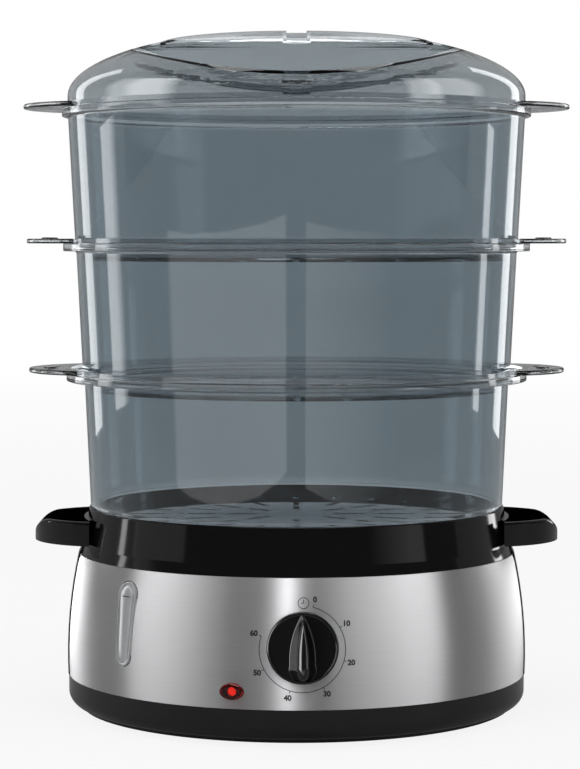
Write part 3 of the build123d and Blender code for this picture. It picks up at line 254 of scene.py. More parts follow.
class SharedEffects:
    """Node groups that several finishes use, each built once."""

    def __init__(self) -> None:
        """Start with no groups."""
        self.made: dict[str, NodeTree] = {}

    def _group(
        self, name: str, inputs: tuple[str, ...], fill: Callable[[Shader, Outputs], dict[str, Socket]]
    ) -> NodeTree:
        """Fetch a group, building it the first time.

        Args:
            name: Name of the group.
            inputs: Names of the numbers it takes.
            fill: Function that takes the group's shader and inputs, and gives its results by name.

        Returns:
            The group's node tree.
        """
        if name not in self.made:
            tree = bpy.data.node_groups.new(name, "ShaderNodeTree")
            number = "NodeSocketFloat"
            for label in inputs:
                tree.interface.new_socket(label, in_out="INPUT", socket_type=number)
            shader = Shader(tree)
            results = fill(shader, shader.add("NodeGroupInput").outputs)
            for label in results:
                tree.interface.new_socket(label, in_out="OUTPUT", socket_type=number)
            shader.feed(shader.add("NodeGroupOutput"), **results)
            self.made[name] = tree
        return self.made[name]

    def mould_texture(self) -> NodeTree:
        """Fine mould grain over the faint waves that moulded plastic keeps.

        Returns:
            The effect's node group.
        """

        def fill(shader: Shader, entry: Outputs) -> dict[str, Socket]:
            """Add the two layers of noise.

            Args:
                shader: Shader of the group.
                entry: The group's inputs.

            Returns:
                The group's results by name.
            """
            place = shader.place()
            speckle = shader.noise(place, entry["Grain Scale"], detail=3.0)
            waves = shader.noise(place, entry["Wave Scale"], detail=3.0)
            fine = shader.math("MULTIPLY", speckle, entry["Grain Share"])
            return {"Height": shader.math("ADD", fine, waves), "Speckle": speckle, "Waves": waves}

        return self._group("mould_texture", ("Grain Scale", "Wave Scale", "Grain Share"), fill)

    def handling_marks(self) -> NodeTree:
        """Hairline scratches, soft smears and settled dust, as masks.

        Returns:
            The effect's node group.
        """
        hairline_from, fleck_from = 0.71, 0.62
        hairline_turns, hairline_stretch = (0.4, 1.9), (60.0, 900.0, 900.0)

        def fill(shader: Shader, entry: Outputs) -> dict[str, Socket]:
            """Add the three masks.

            Args:
                shader: Shader of the group.
                entry: The group's inputs.

            Returns:
                The group's results by name.
            """
            place, amount = shader.place(), entry["Amount"]
            lines = []
            for turn in hairline_turns:
                turned = shader.feed(
                    shader.add("ShaderNodeMapping"),
                    Vector=place, Rotation=(turn, turn * 0.7, turn * 1.3), Scale=hairline_stretch,
                )
                noise = shader.noise(turned.outputs["Vector"], 1.0)
                lines.append(shader.math("GREATER_THAN", noise, hairline_from))
            smears = shader.spread(shader.noise(place, 34.0, detail=5.0), -0.6, 1.6)
            normal = shader.split(shader.add("ShaderNodeNewGeometry").outputs["Normal"])
            flecks = shader.math("GREATER_THAN", shader.noise(place, 2600.0), fleck_from)
            settled = shader.math("MULTIPLY", shader.math("MAXIMUM", normal["Z"], 0.0), flecks)
            return {
                "Hairlines": shader.math("MULTIPLY", shader.math("MAXIMUM", *lines), amount),
                "Smears": shader.math("MULTIPLY", smears, amount, clamp=True),
                "Dust": shader.math("MULTIPLY", settled, amount),
            }

        return self._group("handling_marks", ("Amount",), fill)

    def ring_brushing(self) -> NodeTree:
        """Brushed lines that run round a vertical axis.

        Returns:
            The effect's node group.
        """
        fine_and_coarse = ((5200.0, 7.0), (1500.0, 2.6))

        def fill(shader: Shader, entry: Outputs) -> dict[str, Socket]:
            """Add noise that is fine across the lines and long along them.

            Args:
                shader: Shader of the group.
                entry: The group's inputs.

            Returns:
                The group's results by name.
            """
            spot = shader.split(shader.place())
            turn = shader.math("ARCTAN2", spot["X"], shader.math("SUBTRACT", spot["Y"], entry["Axis Y"]))
            layers = []
            for across, along in fine_and_coarse:
                unrolled = shader.feed(
                    shader.add("ShaderNodeCombineXYZ"),
                    X=shader.math("MULTIPLY", turn, along), Z=shader.math("MULTIPLY", spot["Z"], across),
                )
                layers.append(shader.noise(unrolled.outputs[0], 1.0, detail=4.0))
            return {"Lines": shader.math("MULTIPLY", shader.math("ADD", *layers), 0.5)}

        return self._group("ring_brushing", ("Axis Y",), fill)


EFFECTS = SharedEffects()


def new_material(name: str) -> tuple[Material, Shader, Node]:
    """Start a node material.

    Args:
        name: Name of the material.

    Returns:
        The material, its shader helper and its Principled node.
    """
    material = bpy.data.materials.new(name)
    material.use_nodes = True
    return material, Shader(material.node_tree), material.node_tree.nodes["Principled BSDF"]


def grain(scale: float, waves: float, share: float) -> dict[str, float]:
    """Inputs of the mould texture: grains and waves per metre, and the grain's share of the height."""
    return {"Grain_Scale": scale, "Wave_Scale": waves, "Grain_Share": share}


def shaded(colour: Colour, factor: float) -> Colour:
    """Darker or lighter kind of a colour."""
    return tuple(min(1.0, c * factor) for c in colour[:3]) + (1.0,)


# ---------------------------------------------------------------- finishes


@dataclass(frozen=True)
class MouldedPlastic:
    """Opaque moulded plastic or rubber.

    Attributes:
        name: Name of the material.
        colour: Body colour.
        roughness: Roughness of clean plastic.
        grain_depth: Height of the mould texture in metres.
        grain_share: Share of the fine grain in that height.
        marks: Amount of handling marks and dust.
        wear: Roughness that a full mark adds.
        dust: Colour of settled dust.
        dust_cover: How much of the plastic a full fleck covers.
    """

    name: str
    colour: Colour
    roughness: float
    grain_depth: float = 0.00004
    grain_share: float = 0.05
    marks: float = 0.2
    wear: float = 0.25
    dust: Colour = (0.32, 0.31, 0.3, 1.0)
    dust_cover: float = 0.35

    def build(self) -> Material:
        """Build the material.

        Returns:
            The new material.
        """
        material, shader, body = new_material(self.name)
        texture = shader.use(EFFECTS.mould_texture(), **grain(1800.0, 25.0, self.grain_share))
        marks = shader.use(EFFECTS.handling_marks(), Amount=self.marks)
        pigment = shader.blend(texture["Waves"], shaded(self.colour, 0.8), self.colour)
        dusted = shader.math("MULTIPLY", marks["Dust"], self.dust_cover)
        scuffs = shader.math("ADD", marks["Smears"], marks["Hairlines"])
        rough = shader.worn(scuffs, self.wear, self.roughness)
        shader.feed(body, Base_Color=shader.blend(dusted, pigment, self.dust), Roughness=rough)
        shader.bump(body, texture["Height"], self.grain_depth)
        return material


@dataclass(frozen=True)
class ClearPlastic:
    """Clear moulded plastic that bends what is seen through it and lets lamps through.

    Attributes:
        name: Name of the material.
        tint: Colour that one wall passes.
        shade: Colour that a shadow ray keeps.
        roughness: Roughness of clean plastic.
        wave_depth: Height of the moulding waves in metres.
        wave_scale: Moulding waves per metre.
        marks: Amount of handling marks.
        wear: Roughness that a full mark adds.
        rim_z: Height above which the lighter, painted highlight colour is laid, such as a rim.
        rim_edge: How fast that sets in, per metre.
        foot_z: Height below which the same lighter colour is laid, such as a floor.
        foot_edge: How fast that sets in, per metre.
        rim_tint: Lighter colour of those bands, a painted highlight for the light that the rims catch.
        milk: Share of light that the plastic scatters.
        ior: Index of refraction.
    """

    name: str
    tint: Colour
    shade: Colour
    roughness: float = 0.012
    wave_depth: float = 0.00005
    wave_scale: float = 22.0
    marks: float = 0.12
    wear: float = 0.15
    rim_z: float = 10.0
    rim_edge: float = 400.0
    foot_z: float = -10.0
    foot_edge: float = 120.0
    rim_tint: Colour = (0.62, 0.65, 0.67, 1.0)
    milk: float = 0.0
    ior: float = 1.49

    def build(self) -> Material:
        """Build the material.

        Returns:
            The new material.
        """
        material, shader, body = new_material(self.name)
        texture = shader.use(EFFECTS.mould_texture(), **grain(900.0, self.wave_scale, 0.0))
        marks = shader.use(EFFECTS.handling_marks(), Amount=self.marks)
        wall = shader.blend(texture["Waves"], shaded(self.tint, 0.94), self.tint)
        # Lighter colour near the rim and the floor: a painted highlight, not clearer plastic.
        height = shader.split(shader.place())["Z"]
        above = shader.math("SUBTRACT", height, self.rim_z)
        below = shader.math("SUBTRACT", self.foot_z, height)
        at_rim = shader.math("MULTIPLY_ADD", above, self.rim_edge, 0.5, clamp=True)
        at_foot = shader.math("MULTIPLY_ADD", below, self.foot_edge, 0.5, clamp=True)
        tint = shader.blend(shader.math("MAXIMUM", at_rim, at_foot), wall, self.rim_tint)
        scuffs = shader.math("ADD", marks["Smears"], marks["Hairlines"])
        rough = shader.worn(scuffs, self.wear, self.roughness)
        shader.feed(body, Base_Color=tint, Roughness=rough)
        shader.feed(body, Transmission_Weight=1.0 - self.milk, IOR=self.ior)
        shader.bump(body, texture["Height"], self.wave_depth)
        open_way = shader.feed(shader.add("ShaderNodeBsdfTransparent"), Color=self.shade)
        shader.layer(shader.add("ShaderNodeLightPath").outputs["Is Shadow Ray"], body, open_way)
        return material


@dataclass(frozen=True)
class BrushedSheet:
    """Stainless sheet brushed round the base.

    Attributes:
        name: Name of the material.
        colour: Colour of the metal.
        axis_y: Where the sheet's axis stands.
        roughness: Mean roughness.
        line_rough: How far the brushed lines move it either way.
        line_depth: Height of the brushed lines in metres.
        marks: Amount of handling marks.
        wear: Roughness that a full smear adds.
    """

    name: str
    colour: Colour
    axis_y: float
    roughness: float = 0.4
    line_rough: float = 0.08
    line_depth: float = 0.000006
    marks: float = 0.25
    wear: float = 0.12

    def build(self) -> Material:
        """Build the material.

        Returns:
            The new material.
        """
        material, shader, body = new_material(self.name)
        lines = shader.use(EFFECTS.ring_brushing(), Axis_Y=self.axis_y)["Lines"]
        marks = shader.use(EFFECTS.handling_marks(), Amount=self.marks)
        metal = shader.blend(shader.spread(lines, -0.5, 1.5), shaded(self.colour, 0.88), self.colour)
        tangent = shader.add("ShaderNodeTangent", direction_type="RADIAL", axis="Z").outputs[0]
        grain = shader.spread(lines, self.roughness - self.line_rough, self.roughness + self.line_rough)
        rough = shader.math("ADD", grain, shader.math("MULTIPLY", marks["Smears"], self.wear))
        shader.feed(body, Base_Color=metal, Metallic=1.0, Roughness=rough)
        shader.feed(body, Anisotropic=0.95, Anisotropic_Rotation=0.25, Tangent=tangent)
        shader.bump(body, lines, self.line_depth)
        return material


@dataclass(frozen=True)
class PlainMetal:
    """Plated, pressed or turned metal.

    Attributes:
        name: Name of the material.
        colour: Colour of the metal.
        tarnish: Colour of its duller patches.
        roughness: Mean roughness.
        wear: Roughness that a full smear adds.
    """

    name: str
    colour: Colour
    tarnish: Colour
    roughness: float
    wear: float = 0.3

    def build(self) -> Material:
        """Build the material.

        Returns:
            The new material.
        """
        material, shader, body = new_material(self.name)
        texture = shader.use(EFFECTS.mould_texture(), **grain(1400.0, 60.0, 0.15))
        marks = shader.use(EFFECTS.handling_marks(), Amount=0.4)
        metal = shader.blend(shader.spread(texture["Waves"], -0.7, 1.7), self.tarnish, self.colour)
        rough = shader.worn(marks["Smears"], self.wear, self.roughness)
        shader.feed(body, Base_Color=metal, Metallic=1.0, Roughness=rough)
        shader.bump(body, texture["Height"], 0.00003)
        return material


@dataclass(frozen=True)
class PrintedInk:
    """Ink printed on steel.

    Attributes:
        name: Name of the material.
        colour: Colour of the ink.
        thin: How much lighter it is where it is thin.
    """

    name: str
    colour: Colour = (0.02, 0.02, 0.022, 1.0)
    thin: float = 2.2

    def build(self) -> Material:
        """Build the material.

        Returns:
            The new material.
        """
        material, shader, body = new_material(self.name)
        texture = shader.use(EFFECTS.mould_texture(), **grain(5200.0, 400.0, 0.3))
        ink = shader.blend(texture["Speckle"], self.colour, shaded(self.colour, self.thin))
        shader.feed(body, Base_Color=ink, Roughness=0.5)
        shader.bump(body, texture["Height"], 0.000004)
        return material


@dataclass(frozen=True)
class GlowingGas:
    """Lit neon behind its glass.

    Attributes:
        name: Name of the material.
        glow: Colour of the light.
        strength: Strength of the light.
        hot: Colour of its brightest patches.
        glass: Colour of the glass.
    """

    name: str
    glow: Colour
    strength: float
    hot: Colour = (1.0, 0.78, 0.42, 1.0)
    glass: Colour = (0.8, 0.35, 0.2, 1.0)

    def build(self) -> Material:
        """Build the material.

        Returns:
            The new material.
        """
        material, shader, body = new_material(self.name)
        texture = shader.use(EFFECTS.mould_texture(), **grain(1200.0, 520.0, 0.4))
        light = shader.blend(shader.spread(texture["Waves"], -1.2, 2.0), self.glow, self.hot)
        shader.feed(body, Base_Color=self.glass, Roughness=0.15)
        shader.feed(body, Emission_Color=light, Emission_Strength=self.strength)
        shader.bump(body, texture["Height"], 0.00002)
        return material


Finish = MouldedPlastic | ClearPlastic | BrushedSheet | PlainMetal | PrintedInk | GlowingGas


# ---------------------------------------------------------------- meshes


def mesh_object(name: str, mesh: bmesh.types.BMesh, material: Material) -> Object:
    """Turn a bmesh into an object in the scene.

    Args:
        name: Name of the object.
        mesh: Mesh to use; it is freed.
        material: Material of all its faces.

    Returns:
        The new object.
    """
    bmesh.ops.recalc_face_normals(mesh, faces=mesh.faces)
    data = bpy.data.meshes.new(name)
    mesh.to_mesh(data)
    mesh.free()
    data.materials.append(material)
    piece = bpy.data.objects.new(name, data)
    bpy.context.scene.collection.objects.link(piece)
    return piece


def moulded_object(
    name: str, mesh: bmesh.types.BMesh, material: Material, sharp: float, place: Matrix = Matrix()
) -> Object:
    """Turn a bmesh into an object with smooth faces and sharp edges.

    Args:
        name: Name of the object.
        mesh: Mesh to use; it is freed.
        material: Material of all its faces.
        sharp: Angle in degrees from which an edge stays sharp.
        place: Frame that the mesh is moved into.

    Returns:
        The new object.
    """
    bmesh.ops.remove_doubles(mesh, verts=mesh.verts, dist=MERGE)
    mesh.transform(place)
    piece = mesh_object(name, mesh, material)
    piece.data.shade_smooth()
    piece.data.set_sharp_from_angle(angle=math.radians(sharp))
    return piece


class Skin:
    """Surface of an object, for laying thin print on it."""

    def __init__(self, piece: Object) -> None:
        """Read the object's surface."""
        self.tree = BVHTree.FromObject(piece, bpy.context.evaluated_depsgraph_get())

    def along(self, start: Vector, way: Vector) -> tuple[Vector, Vector]:
        """Where a ray first meets the surface.

        Args:
            start: Point outside the surface.
            way: Direction of the ray.

        Returns:
            The point and the surface's outward normal there.
        """
        point, normal, _, _ = self.tree.ray_cast(start, way)
        if point is None:
            raise ValueError(f"nothing is met from {tuple(start)}")
        return point, normal if normal.dot(way) < 0 else -normal


def upright(origin: Vector, outward: Vector) -> Matrix:
    """Frame at a point: X to the right of someone who looks at it, Y up and Z outward.

    Args:
        origin: Where the frame stands.
        outward: Direction of its Z.

    Returns:
        The frame.
    """
    right = Vector((0.0, 0.0, 1.0)).cross(outward).normalized()
    axes = Matrix((right, outward.cross(right), outward)).transposed()
    return Matrix.Translation(origin) @ axes.to_4x4()


def lay_print(
    name: str, faces: Iterable[tuple[Flat, ...]], place: Matrix, skin: Skin, ink: Material
) -> Object:
    """Lay flat outlines on a surface as a thin closed layer of ink.

    Args:
        name: Name of the print.
        faces: Flat outlines in the frame's X and Y.
        place: Frame in front of the surface, with Z outward.
        skin: Surface that takes the print.
        ink: Material of the print.

    Returns:
        The print as one object.
    """
    half_t, same_within = 0.05 * MM, 0.0001 * MM
    inward = -(place.to_3x3() @ Vector((0.0, 0.0, 1.0)))
    mesh = bmesh.new()
    known: dict[tuple[int, int], tuple[Vert, Vert]] = {}

    def lay(spot: Flat) -> tuple[Vert, Vert]:
        """Corners of the layer at one flat place.

        Args:
            spot: Place in the frame's X and Y.

        Returns:
            The corner on top and the one below.
        """
        key = (round(spot[0] / same_within), round(spot[1] / same_within))
        if key not in known:
            point, normal = skin.along(place @ Vector((*spot, STAND_OFF)), inward)
            known[key] = (mesh.verts.new(point + normal * half_t), mesh.verts.new(point - normal * half_t))
        return known[key]

    for face in faces:
        laid = [lay(spot) for spot in face]
        if len({id(top) for top, _ in laid}) < 3:
            continue
        try:
            mesh.faces.new([top for top, _ in laid])
            mesh.faces.new([low for _, low in reversed(laid)])
        except ValueError:
            continue
    partner = {top: low for top, low in known.values()}
    for edge in [edge for edge in mesh.edges if len(edge.link_faces) == 1]:
        a, b = edge.verts
        if a in partner and b in partner:
            mesh.faces.new((a, b, partner[b], partner[a]))
    return mesh_object(name, mesh, ink)


@dataclass
class KnobCap:
    """Knob as moulded: rounded rim, dished face and a leaf-shaped grip with a crowned crest.

    Attributes:
        node: CAD node that gives the knob's place and reach.
        middle: Point on its axis.
        outward: Direction that it faces.
        disc_r: Radius of the disc.
        disc_t: Thickness of the disc.
        edge_r: Round of the disc's outer edge.
        rim: Width of the raised rim.
        dish: Depth of the dished face.
        rim_soft: Round of the rim's inner corners, as a share of that depth.
        shell: Wall of the hollow back.
        hub_r: Radius of the hub.
        grip_top: Grip, from the axis to its pointed end.
        grip_bottom: Grip, from the axis to its round end.
        half_w: Half of the grip's width at its widest place.
        waist: Half of its width halfway up to the point.
        shoulder: Widest place, below the axis.
        flare: Round at the grip's foot.
        crest_w: Width at which the crest starts to round, as a share of the foot.
        crest_l: Length there, as a share of the foot.
        crest_at: Height there, as a share of the grip's.
        crest_pull: How much shorter the crest's middle line is, as a share of the foot.
        side_rings: Rings between the foot's round and the crest.
        steps: Points along each arc of the outline.
        turns: Points round the disc.
        sharp: Angle in degrees from which an edge stays sharp.
    """

    node: Object
    middle: Vector
    outward: Vector
    disc_r: float = 18.2 * MM
    disc_t: float = 5.0 * MM
    edge_r: float = 1.0 * MM
    rim: float = 1.3 * MM
    dish: float = 0.8 * MM
    rim_soft: float = 0.3
    shell: float = 2.2 * MM
    hub_r: float = 5.0 * MM
    grip_top: float = 16.4 * MM
    grip_bottom: float = 16.8 * MM
    half_w: float = 6.1 * MM
    waist: float = 5.0 * MM
    shoulder: float = 8.5 * MM
    flare: float = 0.7 * MM
    crest_w: float = 0.52
    crest_l: float = 0.94
    crest_at: float = 0.7
    crest_pull: float = 0.12
    side_rings: int = 4
    steps: int = 28
    turns: int = 120
    sharp: float = 28.0

    def profile(self) -> list[Flat]:
        """Section of the disc.

        Returns:
            Radii and heights, from the face's middle round to the back's.
        """
        floor, rim_r = self.disc_t - self.dish, self.disc_r - self.rim
        soft, edge_r = self.rim_soft * self.dish, self.edge_r
        low, high, left, right = floor + soft, self.disc_t - soft, rim_r - soft, rim_r + soft
        inner = [(left + soft * math.sin(a), low - soft * math.cos(a)) for a in QUARTER]
        crown = [(right - soft * math.cos(a), high + soft * math.sin(a)) for a in QUARTER]
        outer_r, outer_h = self.disc_r - edge_r, self.disc_t - edge_r
        outer = [(outer_r + edge_r * math.sin(a), outer_h + edge_r * math.cos(a)) for a in QUARTER]
        inner_r = self.disc_r - self.shell
        back = [(self.disc_r, 0.0), (inner_r, 0.0), (inner_r, self.shell)]
        hub = [(self.hub_r, self.shell), (self.hub_r, 0.0), (0.0, 0.0)]
        return [(0.0, floor), (rim_r - 2 * soft, floor), *inner, *crown, *outer, *back, *hub]

    def outline(self) -> list[Flat]:
        """Leaf outline of the grip's foot.

        Returns:
            Its places, all the way round.
        """
        right, left = (self.half_w, -self.shoulder), (-self.half_w, -self.shoulder)
        halfway = (self.waist, (self.grip_top - self.shoulder) / 2)
        side = arc_through((0.0, self.grip_top), halfway, right, self.steps)
        end = arc_through(right, (0.0, -self.grip_bottom), left, self.steps)
        return [*side[:-1], *end[:-1], *[(-x, y) for x, y in reversed(side[1:])]]

    def section(self, tall: float) -> list[tuple[float, float, float, float]]:
        """Rings of the grip from foot to crest.

        Args:
            tall: Height of the grip.

        Returns:
            Growth, shares of the foot's width and length, and height of each ring.
        """
        flare, start = self.flare, self.crest_at * tall
        foot = [(flare * (1 - math.sin(a)), 1.0, 1.0, flare * (1 - math.cos(a))) for a in QUARTER]
        sides = []
        for k in range(1, self.side_rings + 1):
            share = k / self.side_rings
            width, length = 1 - (1 - self.crest_w) * share, 1 - (1 - self.crest_l) * share
            sides.append((0.0, width, length, flare + (start - flare) * share))
        crest = []
        for angle in QUARTER[1:]:
            length = self.crest_l - self.crest_pull * (1 - math.cos(angle))
            height = start + (tall - start) * math.sin(angle)
            crest.append((0.0, self.crest_w * math.cos(angle), length, height))
        return [*foot, *sides, *crest]

    def build(self, finish: Material) -> Object:
        """Build the knob.

        Args:
            finish: Material of the knob.

        Returns:
            The knob as one object.
        """
        reach = [(vertex.co - self.middle).dot(self.outward) for vertex in self.node.data.vertices]
        place = upright(self.middle + self.outward * min(reach), self.outward)
        mesh = bmesh.new()
        angles = [math.tau * k / self.turns for k in range(self.turns)]
        rings = []
        for radius, height in self.profile():
            spots = [(math.sin(a) * radius, math.cos(a) * radius, height) for a in angles]
            rings.append([mesh.verts.new(spot) for spot in spots])
        join_rings(mesh, rings)
        floor = self.disc_t - self.dish
        outline = [Vector(spot) for spot in self.outline()]
        rings = []
        for growth, width, length, height in self.section(max(reach) - min(reach) - floor):
            ring = []
            for k, spot in enumerate(outline):
                run = (outline[(k + 1) % len(outline)] - outline[k - 1]).normalized()
                x, y = spot.x * width - run.y * growth, spot.y * length + run.x * growth
                ring.append(mesh.verts.new((x, y, floor + height)))
            rings.append(ring)
        join_rings(mesh, rings)
        mesh.faces.new(reversed(rings[0]))
        return moulded_object("timer_knob_cap", mesh, finish, self.sharp, place)


@dataclass
class GaugePane:
    """Gauge window as moulded: a rounded edge, a fine groove and a crowned pane, on the band's curve.

    Attributes:
        node: CAD node that gives the window's place and curve.
        outward: Direction that it faces.
        proud: Height of the node's face over the steel.
        low_r: Radius of the opening's lower end.
        top_r: Radius of its upper end.
        flange: Width of the node's flange beyond the opening.
        section: Growth beyond the opening and height over the steel in mm, from below the edge round it
            and over the groove to the middle.
        lip: Inner and outer growth of the dark lip on the steel, in mm: the gasket, and a painted shadow of
            the gap round the window.
        steps: Points along each end.
        sharp: Angle in degrees from which an edge stays sharp.
    """

    node: Object
    outward: Vector
    proud: float = 1.3 * MM
    low_r: float = 5.0 * MM
    top_r: float = 6.6 * MM
    flange: float = 1.5 * MM
    section: tuple[Flat, ...] = (
        (-0.6, -1.2), (-0.2, -1.2), (-0.2, 0.02), (0.35, 0.02), (0.45, 0.3), (0.42, 0.6),
        (0.28, 0.85), (0.0, 1.0), (-0.35, 1.0), (-0.6, 0.85), (-0.75, 0.6), (-0.95, 0.5),
        (-1.15, 0.6), (-1.35, 0.85), (-1.7, 1.05), (-2.5, 1.2), (-3.6, 1.28), (-4.8, 1.3),
    )
    lip: Flat = (0.42, 0.85)
    steps: int = 24
    sharp: float = 50.0

    def place(self) -> Matrix:
        """Frame in the middle of the window."""
        low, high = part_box(self.node.name)
        return upright((low + high) / 2, self.outward)

    def outline(self, growth: float) -> list[Flat]:
        """Tapered slot round two circles, from the top's left quarter round.

        Args:
            growth: How far it lies outside the opening.

        Returns:
            Its places, the same number for every growth, with left and right mirrored.
        """
        low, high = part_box(self.node.name)
        half = (high.z - low.z) / 2
        low_z, top_z = self.low_r + self.flange - half, half - self.top_r - self.flange
        low_r, top_r = self.low_r + growth, self.top_r + growth
        tilt = math.asin((top_r - low_r) / (top_z - low_z))
        quarter = math.pi / 2
        upper = self.span(-quarter - tilt, quarter + tilt)
        lower = self.span(quarter + tilt, 3 * quarter - tilt)
        over = [(top_r * math.sin(turn), top_z + top_r * math.cos(turn)) for turn in upper]
        under = [(low_r * math.sin(turn), low_z + low_r * math.cos(turn)) for turn in lower]
        return [*over, *under]

    def span(self, start: float, end: float) -> list[float]:
        """Equal steps between two angles."""
        return [start + (end - start) * k / self.steps for k in range(self.steps + 1)]

    def build(self, finish: Material) -> Object:
        """Build the window.

        Args:
            finish: Material of the window.

        Returns:
            The window as one object.
        """
        place = self.place()
        skin = Skin(self.node)
        inward = -self.outward
        mesh = bmesh.new()
        rings = []
        for growth, height in self.section:
            ring = []
            for x, y in self.outline(growth * MM):
                point, normal = skin.along(place @ Vector((x, y, STAND_OFF)), inward)
                ring.append(mesh.verts.new(point + normal * (height * MM - self.proud)))
            rings.append(ring)
        join_rings(mesh, rings)
        for ring in (rings[0], rings[-1]):
            count = self.steps + 1
            over, under = ring[:count], ring[count:][::-1]
            for strip in mirrored_pairs(over) + mirrored_pairs(under):
                mesh.faces.new(strip)
            mesh.faces.new((over[0], over[-1], under[-1], under[0]))
        return moulded_object("gauge_pane", mesh, finish, self.sharp)

    def gasket_lip(self, steel: Object, finish: Material) -> Object:
        """Lay a thin dark lip on the steel round the window: the gasket, and a painted shadow of the gap
        round it.

        Args:
            steel: Node that the lip lies on.
            finish: Material of the lip.

        Returns:
            The lip as one object.
        """
        inner, outer = (self.outline(growth * MM) for growth in self.lip)
        faces = [(inner[k - 1], inner[k], outer[k], outer[k - 1]) for k in range(len(inner))]
        return lay_print("gauge_gasket_lip", faces, self.place(), Skin(steel), finish)


def mirrored_pairs(arc: list[Vert]) -> list[list[Vert]]:
    """Strips that close an arc whose left and right halves are mirrored.

    Args:
        arc: Vertices along the arc.

    Returns:
        The vertices of each strip.
    """
    strips = []
    for k in range(len(arc) // 2):
        strip = [arc[k], arc[-1 - k], arc[-2 - k], arc[k + 1]]
        strips.append(list(dict.fromkeys(strip)))
    return [strip for strip in strips if len(strip) > 2]


def arc_through(start: Flat, middle: Flat, end: Flat, steps: int) -> list[Flat]:
    """Places along the arc through three points.

    Args:
        start: First point.
        middle: Point that the arc passes.
        end: Last point.
        steps: Number of equal steps.

    Returns:
        The places, with both ends.
    """
    (ax, ay), (bx, by), (cx, cy) = start, middle, end
    twice = 2 * (ax * (by - cy) + bx * (cy - ay) + cx * (ay - by))
    a2, b2, c2 = ax * ax + ay * ay, bx * bx + by * by, cx * cx + cy * cy
    ux = (a2 * (by - cy) + b2 * (cy - ay) + c2 * (ay - by)) / twice
    uy = (a2 * (cx - bx) + b2 * (ax - cx) + c2 * (bx - ax)) / twice
    radius = math.hypot(ax - ux, ay - uy)
    turn_a, turn_b, turn_c = (math.atan2(y - uy, x - ux) for x, y in (start, middle, end))
    sweep = (turn_c - turn_a) % math.tau
    if (turn_b - turn_a) % math.tau > sweep:
        sweep -= math.tau
    turns = [turn_a + sweep * k / steps for k in range(steps + 1)]
    return [(ux + radius * math.cos(turn), uy + radius * math.sin(turn)) for turn in turns]


def join_rings(mesh: bmesh.types.BMesh, rings: list[list[Vert]]) -> None:
    """Join neighbouring rings of vertices with faces.

    Args:
        mesh: Mesh that holds them.
        rings: Rings with the same number of vertices each.
    """
    for low, high in zip(rings, rings[1:]):
        for k in range(len(low)):
            mesh.faces.new((low[k - 1], low[k], high[k], high[k - 1]))


